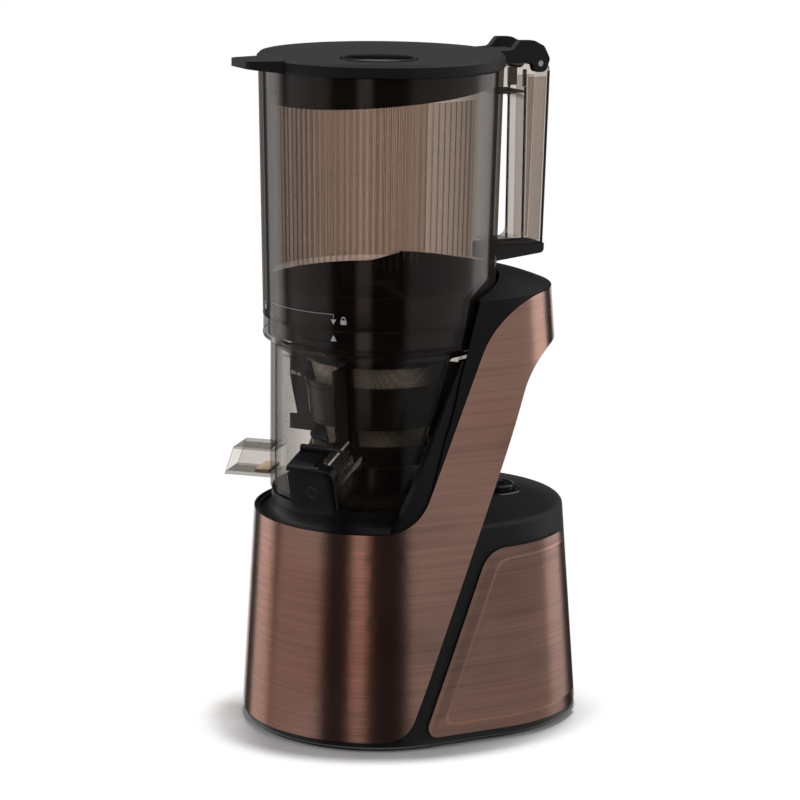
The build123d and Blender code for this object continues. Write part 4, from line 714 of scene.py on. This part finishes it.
tall = (SCALE_HIGH - SCALE_LOW) / MM
ticks = []
for step in range(STEPS + 1):
    up = tall * step / STEPS
    reach = 1.7 if step % LONG_EVERY else 3.2
    ticks.append(bar(0.0, up - HALF_TICK, reach, up + HALF_TICK))
ticks.append(bar(-HALF_TICK, 0.0, HALF_TICK, tall))
wrapped("drum_scale", ticks, SCALE_ANGLE, SCALE_LOW, lambda z: drum_r, "bowl")
for text, share in (("500 mL", 1.0), ("400", 2 / 3), ("300", 1 / 3), ("200", 0.0)):
    wrapped("drum_figures_" + text[:3], figures(text, FIGURE_HEIGHT), FIGURES_ANGLE,
            SCALE_LOW + share * tall * MM, lambda z: drum_r, "bowl")
print("scale's height in mm:", round(tall, 1), "ticks:", STEPS + 1)

# %% [markdown]
# ## A skin over rings of points
# The pieces that follow are short sweeps: a profile carried round the axis, along the nozzle or
# up the handle. Each is a list of rings, and one function skins them and closes the ends. Edges
# sharper than about thirty degrees stay crisp.


# %% Skinning rings
CRISP_ANGLE = math.radians(32)


def skin(name, rings, finish_material, ride, loop=False):
    """A closed mesh through rings of points; with loop the last ring joins the first."""
    mesh = bmesh.new()
    rows = [[mesh.verts.new(point) for point in ring] for ring in rings]
    following = rows[1:] + rows[:1] if loop else rows[1:]
    for first, second in zip(rows, following):
        for i in range(len(first)):
            j = (i + 1) % len(first)
            mesh.faces.new((first[i], first[j], second[j], second[i]))
    if not loop:
        mesh.faces.new(rows[0][::-1])
        mesh.faces.new(rows[-1])
    bmesh.ops.recalc_face_normals(mesh, faces=mesh.faces[:])
    made = placed(name, mesh, finish_material)
    made.data.shade_smooth()
    made.data.set_sharp_from_angle(angle=CRISP_ANGLE)
    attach(made, ride)
    return made


def lathe(name, profile, finish_material, ride, steps=96):
    """A closed profile of (radius, z) in millimetres, carried round the drive axis."""
    rings = [[round_axis(r * MM, 360 * step / steps, z * MM) for r, z in profile]
             for step in range(steps)]
    skin(name, rings, finish_material, ride, loop=True)


def circle(steps):
    """The angles of a full turn in even steps, in radians."""
    return [2 * math.pi * step / steps for step in range(steps)]


print("edges stay crisp from degrees:", round(math.degrees(CRISP_ANGLE)))

# %% [markdown]
# ## The brush cage
# Between the strainer and the drum turns a black cage that carries the wipers. Its bands leave
# windows on the mesh, and beads stiffen the bands' rims. They are turned on the lathe function.
# A plain black ring under the drum's brim closes the gap above the cage.

# %% Bands of the cage
CAGE_LOW, CAGE_TOP = 181.0, 256.0
CAGE_WALL = 2.0


def cage_r(z):
    """Outside of the cage's cone at a height, in millimetres."""
    return 44.0 + (z - 190.0) * 0.105


def band(low, high, beads):
    """A belt's section: its inner wall and an outer wall with beads at the given heights."""
    outside = [(cage_r(low), low)]
    for bead in beads:
        for dz, proud in ((-0.9, 0.0), (-0.6, 0.9), (0.6, 0.9), (0.9, 0.0)):
            outside.append((cage_r(bead + dz) + proud, bead + dz))
    outside.append((cage_r(high), high))
    return outside + [(cage_r(high) - CAGE_WALL, high), (cage_r(low) - CAGE_WALL, low)]


lathe("cage_band", band(206.4, 235.2, (208.0, 230.4, 234.0)), resin_black, "brush")
lathe("cage_foot", band(CAGE_LOW, 195.0, (186.8, 193.8)), resin_black, "brush")
lathe("cage_head", band(248.5, CAGE_TOP, (250.2,)), resin_black, "brush")
lathe("drum_rim", [(66.4, 256.6), (68.8, 256.6), (68.8, 262.4), (66.4, 262.4)],
      resin_black, "bowl")
print("cage radius low and high in mm:", round(cage_r(CAGE_LOW), 1), round(cage_r(CAGE_TOP), 1))

# %% [markdown]
# Four upright bars join the bands, and each carries a silicone blade that sweeps the drum's wall.
# The blade's edge steps in where the nozzle's mouth and the drum's shoulder need room. Both are
# sweeps up the cage's cone, a section at each height.

# %% Bars and blades of the cage
CAGE_TURN = 37.0
BARS, BAR_STEPS = 4, 8
BLADE_EDGE = ((191.0, 66.3), (196.0, 66.3), (201.4, 66.3), (201.6, 60.6), (210.0, 62.4),
              (219.0, 64.4), (228.5, 66.3), (249.0, 66.3))


def section(middle, z, corners):
    """A ring of (radius, degrees off the middle) at a height."""
    return [round_axis(r * MM, middle + aside, z * MM) for r, aside in corners]


for turn in range(BARS):
    middle = CAGE_TURN + 360 / BARS * turn
    rise = (CAGE_TOP - CAGE_LOW) / BAR_STEPS
    heights = [CAGE_LOW + rise * step for step in range(BAR_STEPS + 1)]
    bar_rings = [section(middle, z, [(cage_r(z) + proud, aside) for proud, aside in (
        (-2.0, -5.4), (0.6, -5.4), (1.0, 0.0), (0.6, 5.4), (-2.0, 5.4))]) for z in heights]
    blade_rings = [section(middle, z, (
        (cage_r(z) - 0.5, -1.3), (edge, -0.7), (edge, 0.7), (cage_r(z) - 0.5, 1.3)))
        for z, edge in BLADE_EDGE]
    skin(f"cage_bar_{turn}", bar_rings, resin_black, "brush")
    skin(f"cage_blade_{turn}", blade_rings, seal_dark, "brush")
print("bars and blades:", BARS)

# %% [markdown]
# ## The juice nozzle and its cap
# The nozzle leans out of the drum towards the front right. Its pieces are drawn along, across and
# above its own axis, so three directions are worked out first, from its turn and its tilt.

# %% Nozzle directions
# This pale colour is a painted highlight, used for the strip on the shield's cut edge.
highlight_strip_white = moulded("highlight_strip_white", (0.92, 0.90, 0.85), 0.20, 300.0, 0.00001)
NOZZLE_ANGLE = 38.0
NOZZLE_TURN = math.radians(NOZZLE_ANGLE)
NOZZLE_TILT = math.radians(17)
outward = Vector((math.sin(NOZZLE_TURN) * math.cos(NOZZLE_TILT),
                  -math.cos(NOZZLE_TURN) * math.cos(NOZZLE_TILT), -math.sin(NOZZLE_TILT)))
rising = Vector((math.sin(NOZZLE_TURN) * math.sin(NOZZLE_TILT),
                 -math.cos(NOZZLE_TURN) * math.sin(NOZZLE_TILT), math.cos(NOZZLE_TILT)))
across = Vector((math.cos(NOZZLE_TURN), math.sin(NOZZLE_TURN), 0.0))
nozzle_at = round_axis(86.0 * MM, NOZZLE_ANGLE, 180.2 * MM)


def by_nozzle(reach, aside, up):
    """A point given along, across and above the nozzle's axis, in millimetres."""
    return nozzle_at + (outward * reach + across * aside + rising * up) * MM


def rounded_square(reach, half_wide, low, high, corner):
    """A ring of points with round corners, square to the nozzle."""
    ring = []
    for sx, sz, start in ((1, 1, 0), (-1, 1, 90), (-1, -1, 180), (1, -1, 270)):
        edge = high if sz > 0 else low
        for step in range(6):
            turn = math.radians(start + 90 * step / 5)
            ring.append(by_nozzle(reach, sx * (half_wide - corner) + corner * math.cos(turn),
                                  edge - sz * corner + corner * math.sin(turn)))
    return ring


def round_nozzle(points, turn):
    """A section of (reach, radius) at an angle round the nozzle's axis."""
    return [by_nozzle(reach, r * math.cos(turn), r * math.sin(turn)) for reach, r in points]


def cross_rod(name, reach, up, radius, asides, finish_material):
    """A rod that lies across the nozzle, between two places aside."""
    rings = [[by_nozzle(reach + radius * math.cos(turn), aside, up + radius * math.sin(turn))
              for turn in circle(12)] for aside in asides]
    skin(name, rings, finish_material, "juice_cap")


print("nozzle's mouth centre in mm:", [round(v / MM, 1) for v in nozzle_at])

# %% [markdown]
# The cap is a rounded black block that stands for the plain CAD cap. A plate reaches back from it
# over the nozzle's left half to the hinge, and a small raised ring sits on its face.

# %% The nozzle's cap
cap_rings = [rounded_square(reach, half, -16.6 + trim, 16.6 - trim, 8.0 - trim)
             for reach, half, trim in ((4.5, 16.2, 0.6), (5.0, 17.0, 0.0), (12.2, 17.0, 0.0),
                                       (13.4, 16.2, 0.8), (13.8, 14.6, 2.2), (13.6, 8.0, 7.0))]
cap = skin("cap_block", cap_rings, cap_black, "juice_cap")
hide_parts("juice_cap")
lid_plate = [[by_nozzle(reach, aside, up) for aside, up in (
    (-16.6, 14.0), (2.0, 14.0), (2.0, 17.4 - drop), (-16.0, 17.4 - drop))]
    for reach, drop in ((-10.6, 0.6), (-9.0, 0.0), (12.0, 0.0), (13.4, 0.8))]
skin("cap_plate", lid_plate, cap_black, "juice_cap")
ring_section = ((13.5, 3.0), (14.0, 3.3), (14.0, 3.9), (13.5, 4.2))
skin("cap_ring", [round_nozzle(ring_section, turn) for turn in circle(36)],
     polished_black, "juice_cap", loop=True)
cross_rod("cap_hinge_tube", -10.5, 17.6, 2.6, (-16.4, 2.0), cap_black)
cross_rod("cap_knuckle", 11.0, 15.5, 2.2, (2.0, 6.5), polished_black)
print("cap block:", len(cap.data.polygons), "faces")

# %% [markdown]
# A clear shield hugs the nozzle's lower right side. Where it ends, its cut edge carries a
# painted highlight, a pale strip that stands for the light the edge catches. Two fine beads run
# round the drum's collar.

# %% The nozzle's shield and the collar's beads
SHIELD_FROM, SHIELD_SWEEP, SHIELD_STEPS = 58.0, 176.0, 24
shield_section = ((-31.0, 15.9), (3.0, 15.9), (3.0, 14.5), (-31.0, 14.5))
shield_turns = [math.radians(SHIELD_FROM - SHIELD_SWEEP * step / SHIELD_STEPS)
                for step in range(SHIELD_STEPS + 1)]
skin("nozzle_shield", [round_nozzle(shield_section, turn) for turn in shield_turns],
     smoked_clear, "bowl")
for height in (264.6, 277.6):
    lathe(f"collar_bead_{height:.0f}", [(76.75, height - 0.4), (77.15, height - 0.2),
                                        (77.15, height + 0.2), (76.75, height + 0.4)],
          drum_clear, "bowl", 128)
edge_cos, edge_sin = math.cos(math.radians(SHIELD_FROM)), math.sin(math.radians(SHIELD_FROM))
# The strip along the shield's cut edge is real in shape, and its pale colour is a painted
# highlight.
edge_highlight_rings = [[by_nozzle(reach, r * edge_cos - along * edge_sin, r * edge_sin + along * edge_cos)
             for r, along in ((13.8, 0.0), (16.1, 0.0), (16.1, 1.2), (13.8, 1.2))]
            for reach in (-30.0, 2.0)]
skin("nozzle_edge_highlight", edge_highlight_rings, highlight_strip_white, "bowl")
print("shield sweeps degrees:", SHIELD_SWEEP)

# %% [markdown]
# ## The handle's ribs, beads and panes
# The grip is a moulded channel. A thin rib runs up inside each of its walls, and a dark bead
# along each corner paints the dark line of shade that a clear corner shows where it bends the
# light away. At the top a bridge and two panes stiffen the place where the grip meets the hopper.

# %% Ribs, beads and panes of the grip
FINGER_ROOM = 21.7 * MM
BEAD_R = 0.9 * MM
PANE_HALF = 0.6 * MM
GRIP_LOW, GRIP_HIGH = 0.3200, 0.4300
grip_in = hopper_top_r + FINGER_ROOM
gap_top = hopper_top_z - 20.5 * MM


def upright(name, aside, foot, head, low, high):
    """A thin round bead of dark plastic that paints a dark line of shade, from a depth at its foot
    to a depth at its head.
    """
    rings = [[Vector((aside, AXIS_Y + depth, z))
              + Vector((math.cos(turn), math.sin(turn), 0.0)) * BEAD_R
              for turn in circle(12)] for depth, z in ((foot, low), (head, high))]
    skin(name, rings, deep_smoke_and_shade_lines, "hopper")


def slab(name, half_wide, y0, y1, z0, z1):
    """A flat pane inside the handle; y is counted from the drive axis."""
    rings = [[Vector((x, AXIS_Y + y, z)) for x, y in (
        (-half_wide, y0), (half_wide, y0), (half_wide, y1), (-half_wide, y1))]
        for z in (z0, z1)]
    skin(name, rings, deep_smoke_and_shade_lines, "hopper")


for side, name in ((-1, "left"), (1, "right")):
    rib_rings = []
    for z, outer in ((GRIP_LOW, 116.5), (GRIP_HIGH, 119.8)):
        rib_rings.append([Vector((side * x * MM, AXIS_Y + y * MM, z)) for x, y in (
            (7.4, 106.5), (8.6, 106.5), (8.6, outer), (7.4, outer))])
    skin("grip_rib_" + name, rib_rings, smoked_clear, "hopper")
    # The beads' dark tint is painted shade along the grip's inner corners.
    upright("grip_bead_" + name, side * 11.0 * MM, 102.4 * MM, 102.4 * MM,
            GRIP_LOW - 1 * MM, GRIP_HIGH - 6 * MM)
# This bead paints the dark line of shade along the grip's outer corner.
upright("grip_edge", 10.8 * MM, grip_in + 15.2 * MM, grip_in + 18.2 * MM,
        GRIP_LOW - 4 * MM, GRIP_HIGH + 4 * MM)
slab("grip_bridge", 11.8 * MM, hopper_top_r + 1 * MM, grip_in - 1 * MM,
     gap_top + 0.4 * MM, gap_top + 1.8 * MM)
slab("grip_pane_inner", PANE_HALF, 95.0 * MM, 101.8 * MM,
     gap_top + 4.5 * MM, hopper_top_z - 4 * MM)
slab("grip_pane_outer", PANE_HALF, 106.6 * MM, 109.2 * MM,
     gap_top + 3.0 * MM, hopper_top_z - 6 * MM)
print("finger room in mm:", round(FINGER_ROOM / MM, 1))

# %% [markdown]
# ## The hopper's catch and the lid's dish
# Near the front the hopper's brim has a shallow catch for the lid's tab: a ledge inside the wall
# and a post at its end. In the lid's middle a dark dish with a raised bead runs round the slot
# that a finger opens it by.

# %% The hopper's catch
CATCH_FROM, CATCH_SWEEP, CATCH_STEPS = -27.0, 31.0, 12
POST_FROM, POST_TO = 3.2, 5.2
SHALLOW, DEEP = 0.1 * MM, 1.4 * MM
catch_z = hopper_top_z - 16.2 * MM


def in_wall(sunk, turn, z):
    """A point sunk from the hopper's inner face towards the axis."""
    return round_axis(hopper_radius(z) - WALL - sunk, turn, z)


catch_section = ((SHALLOW, catch_z + 1.2 * MM), (DEEP, catch_z + 1.2 * MM),
                 (DEEP, catch_z - 0.4 * MM), (SHALLOW, catch_z - 1.4 * MM))
catch = [[in_wall(sunk, CATCH_FROM + CATCH_SWEEP * step / CATCH_STEPS, z)
          for sunk, z in catch_section] for step in range(CATCH_STEPS + 1)]
skin("catch_ledge", catch, deep_smoke_and_shade_lines, "hopper")
post = [[in_wall(sunk, turn, z) for sunk, turn in (
    (SHALLOW, POST_FROM), (DEEP, POST_FROM), (DEEP, POST_TO), (SHALLOW, POST_TO))]
    for z in (catch_z - 1.4 * MM, hopper_top_z - 2 * MM)]
skin("catch_post", post, deep_smoke_and_shade_lines, "hopper")
print("ledge spans degrees:", CATCH_SWEEP)

# %% [markdown]
# The dish lies between two outlines, the slot's and its own oval. Both are given as a radius by
# angle, so each section simply runs from the one to the other, with the bead near its end.

# %% The lid's dish
SLOT_HALF_FLAT, SLOT_R = 13.0, 10.4
DISH_LONG, DISH_SHORT = 25.6 * MM, 23.5 * MM
SLOT_ALONG = math.radians(62)
dish_z = hopper_top_z + 7.0 * MM
slot_at = Vector((12.7 * MM, -8.1 * MM + AXIS_Y, 0.0))
dish_at = Vector((17.6 * MM, -10.6 * MM + AXIS_Y, 0.0))
lengthways = Vector((math.cos(SLOT_ALONG), math.sin(SLOT_ALONG), 0.0))
sideways = Vector((-lengthways.y, lengthways.x, 0.0))


def slot_r(turn):
    """The slot's outline, two straights and two round ends, as a radius by angle."""
    along, aside = abs(math.cos(turn)), abs(math.sin(turn))
    if SLOT_R * along <= SLOT_HALF_FLAT * aside:
        return SLOT_R / aside
    return SLOT_HALF_FLAT * along + math.sqrt(SLOT_R ** 2 - (SLOT_HALF_FLAT * aside) ** 2)


dish = []
for turn in circle(72):
    way = lengthways * math.cos(turn) + sideways * math.sin(turn)
    inner = slot_at + way * slot_r(turn) * MM
    outer = (dish_at + lengthways * math.cos(turn) * DISH_LONG
             + sideways * math.sin(turn) * DISH_SHORT)
    dish.append([inner.lerp(outer, share) + Vector((0, 0, dish_z + up * MM)) for share, up in (
        (0.0, -0.4), (1.0, -0.4), (0.99, 0.6), (0.93, 0.6), (0.88, 0.1), (0.0, 0.1))])
skin("lid_dish", dish, cap_black, "lid", loop=True)
print("dish points:", sum(len(ring) for ring in dish))

# %% [markdown]
# ## The funnel's lip
# Inside the hopper the black funnel rises to a lip at the back. The rise is eased with a short
# ramp at each end, cut from the same wall.

# %% Ramps of the funnel's lip
RAMP_FROM, RAMP_SWEEP, RAMP_STEPS = 110.0, 21.5, 16
RAMP_FOOT, RAMP_LOW, RAMP_RISE = 299.0, 299.6, 6.2
RAMP_IN, RAMP_OUT = 71.4, 73.6
for side, name in ((-1, "left"), (1, "right")):
    ramp_rings = []
    for step in range(RAMP_STEPS + 1):
        share = step / RAMP_STEPS
        top = RAMP_LOW + RAMP_RISE * (share * share * (3 - 2 * share))
        turn = side * (RAMP_FROM + RAMP_SWEEP * share)
        ramp_rings.append([round_axis(r * MM, turn, z * MM) for r, z in (
            (RAMP_IN, RAMP_FOOT), (RAMP_OUT, RAMP_FOOT), (RAMP_OUT, top), (RAMP_IN, top))])
    skin("funnel_ramp_" + name, ramp_rings, polished_black, "hopper")
print("ramps rise by mm:", RAMP_RISE)

# %% [markdown]
# ## The studio
# Metal and black plastic show what stands round them, so the studio is painted as bands of light
# by direction: a soft window on each side, a narrow strip near the camera, dark between them and
# white behind the machine. The camera comes first, because the bands are counted from it.

# %% Camera
CAMERA_AT = Vector((1.65386, -0.862, 0.63083))
HEADING = math.radians(62.627)
PITCH = math.radians(12.564)
ROLL = math.radians(0.645)
FOCAL_MM, SENSOR_MM = 127.67, 36.0

level = Vector((-math.sin(HEADING), math.cos(HEADING), 0.0))
right = Vector((math.cos(HEADING), math.sin(HEADING), 0.0))
forward = level * math.cos(PITCH) - Vector((0, 0, 1)) * math.sin(PITCH)
upward = level * math.sin(PITCH) + Vector((0, 0, 1)) * math.cos(PITCH)
camera_right = right * math.cos(ROLL) + upward * math.sin(ROLL)
camera_up = upward * math.cos(ROLL) - right * math.sin(ROLL)

lens = bpy.data.cameras.new("camera")
lens.sensor_width = SENSOR_MM
lens.lens = FOCAL_MM
lens.clip_start, lens.clip_end = 0.05, 60.0
camera = bpy.data.objects.new("camera", lens)
axes = Matrix((camera_right, camera_up, -forward)).transposed()
camera.matrix_world = Matrix.Translation(CAMERA_AT) @ axes.to_4x4()
show(camera)
bpy.context.scene.camera = camera
print("camera distance:", round(CAMERA_AT.length, 3))

# %% [markdown]
# The floor is a disc that fades into the white round it, so it has no horizon. Its grey is a
# painted shadow in an oval a little larger than the base, which also holds the lamps' real shadow
# of the machine, and mirrors in the metal don't see it.


# %% Floor
FLOOR_R = 0.65
FLOOR_DROP = 0.2 * MM
FADE_FROM, FADE_TO = 1.14, 1.36
foot_low, foot_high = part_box("base_pan")
foot_middle, foot_half = (foot_high + foot_low) / 2, (foot_high - foot_low) / 2


def floor_painted_shadow(name):
    finish = Finish(name)
    scaled = finish.node("ShaderNodeMapping", {"vector_type": "TEXTURE"}, {
        "Vector": finish.place(), "Location": (foot_middle.x, foot_middle.y, 0.0),
        "Scale": (foot_half.x, foot_half.y, 1.0)})
    reach = finish.node("ShaderNodeVectorMath", {"operation": "LENGTH"}, {0: finish.out(scaled)})
    far = finish.between(finish.out(reach, "Value"), FADE_FROM, FADE_TO)
    grain = finish.noise((60.0, 60.0, 60.0))
    # The grey oval is a painted shadow round the base; beyond it the floor fades to white.
    paint = finish.surface({
        "Base Color": finish.mix(grain, (0.55, 0.55, 0.55), (0.59, 0.59, 0.59)),
        "Roughness": 0.7,
    })
    clear = finish.out(finish.node("ShaderNodeBsdfTransparent"))
    mirrored = finish.out(finish.node("ShaderNodeLightPath"), "Is Glossy Ray")
    return finish.done(finish.blend(far.larger(mirrored), paint, clear))


disc = bmesh.new()
bmesh.ops.create_circle(disc, cap_ends=True, segments=96, radius=FLOOR_R)
floor = placed("floor", disc, floor_painted_shadow("floor_painted_shadow"))
floor.location.z = -FLOOR_DROP

# %% [markdown]
# The world's shader works on directions. The ray's azimuth is counted from the camera towards the
# right, in degrees, and a window is a smooth step up and a smooth step down again.


# %% Directions in the world
class World(Finish):
    """The world's own tree, built with the same methods as a material."""

    def __init__(self):
        world = bpy.data.worlds.new("studio")
        world.use_nodes = True
        bpy.context.scene.world = world
        self.tree = world.node_tree
        self.tree.nodes.clear()


studio = World()
direction = studio.out(studio.node("ShaderNodeTexCoord"), "Generated")
ray = studio.node("ShaderNodeSeparateXYZ", {}, {"Vector": direction})
x, y, z = (studio.out(ray, axis) for axis in "XYZ")
toward_camera = x * -level.x + y * -level.y
toward_right = x * right.x + y * right.y
degrees = toward_right.maths("ARCTAN2", toward_right, toward_camera) * math.degrees(1)


def window(first, last, soft):
    """1 between two azimuths, with soft edges."""
    return studio.between(degrees, first, first + soft) * (
        1.0 - studio.between(degrees, last - soft, last))


print("direction nodes:", len(studio.tree.nodes))

# %% [markdown]
# Rays that go steeply down see less of the side windows, and the strip near the camera and the
# edge bands are brighter higher up. The strip is a little warm. Diffuse rays see the studio at
# less than half its strength, because the lamps light the surfaces.

# %% Bands of light
DARK = 0.025
high = studio.between(z, -0.235, -0.215)
lift = 0.86 + studio.between(z, -0.32, -0.22) * 0.14
left_window = window(-110, -43, 12) * lift * 0.46 - window(-113, -96, 6) * high * 0.36
right_window = window(23, 112, 12) * lift * 0.43
left_edge = window(-140, -102, 8) * 0.78 + window(-142, -110, 8) * high * 0.50
right_edge = window(101, 138, 10) * (0.62 + high * 0.62)
strip = window(-25, -4, 7) * high * 0.85
above = studio.between(z, 0.35, 0.75) * 0.40
light = DARK + left_window + right_window + left_edge + right_edge + above
rays = studio.node("ShaderNodeLightPath")
strength = 1.0 - studio.out(rays, "Is Diffuse Ray") * 0.55
shade = studio.node("ShaderNodeCombineColor", {}, {
    "Red": light + strip, "Green": light + strip * 0.82, "Blue": light + strip * 0.76})
painted = studio.out(studio.node("ShaderNodeBackground", {}, {
    "Color": studio.out(shade), "Strength": strength}))
print("studio nodes:", len(studio.tree.nodes))

# %% [markdown]
# The camera, and rays that pass through the clear walls, see plain white. A reflection sees that
# white only low behind the machine, and the painted bands everywhere else, because metal in a room
# that is white all round has no shape.

# %% White where it is looked at
white = studio.out(studio.node("ShaderNodeBackground", {}, {
    "Color": (1.0, 1.0, 1.0, 1.0), "Strength": 1.0}))
behind = (1.0 - window(-162, 162, 8)) * (1.0 - studio.between(z, 0.0, 0.08))
mirrored = studio.out(rays, "Is Glossy Ray") * behind
seen = studio.out(rays, "Is Camera Ray").larger(studio.out(rays, "Is Transmission Ray"))
studio.node("ShaderNodeOutputWorld", {}, {
    "Surface": studio.blend(seen.larger(mirrored), painted, white)})
print("world:", bpy.context.scene.world.name)

# %% [markdown]
# Soft lamps: one high on the left of the camera, one on its right and one almost overhead. They
# light the machine but don't show in its metal, because the painted studio does that.


# %% Lamps
AIM = Vector((0, 0, 0.2))


def lamp(name, azimuth, height, distance, size, power):
    """A round lamp at an azimuth from the camera, in degrees, that looks at the machine."""
    turn = math.radians(azimuth)
    place = (-level * math.cos(turn) + right * math.sin(turn)) * distance + Vector((0, 0, height))
    data = bpy.data.lights.new(name, "AREA")
    data.shape = "DISK"
    data.size = size
    data.energy = power
    made = bpy.data.objects.new(name, data)
    made.location = place
    made.rotation_mode = "QUATERNION"
    made.rotation_quaternion = (place - AIM).to_track_quat("Z", "Y")
    made.visible_glossy = False
    show(made)
    print("lamp", name, "watts:", power)


lamp("key", -55, 1.5, 1.5, 1.0, 9)
lamp("fill", 50, 1.2, 1.6, 1.1, 7)
lamp("top", 176, 2.0, 0.24, 0.36, 62)

# %% [markdown]
# The Standard view shows a colour as it is written. A look through the hopper crosses dozens of
# clear faces, the reeds among them, so rays may pass more transparent faces than usual.

# %% View
bpy.context.scene.view_settings.view_transform = "Standard"
bpy.context.scene.cycles.transparent_max_bounces = 32
print("view:", bpy.context.scene.view_settings.view_transform)
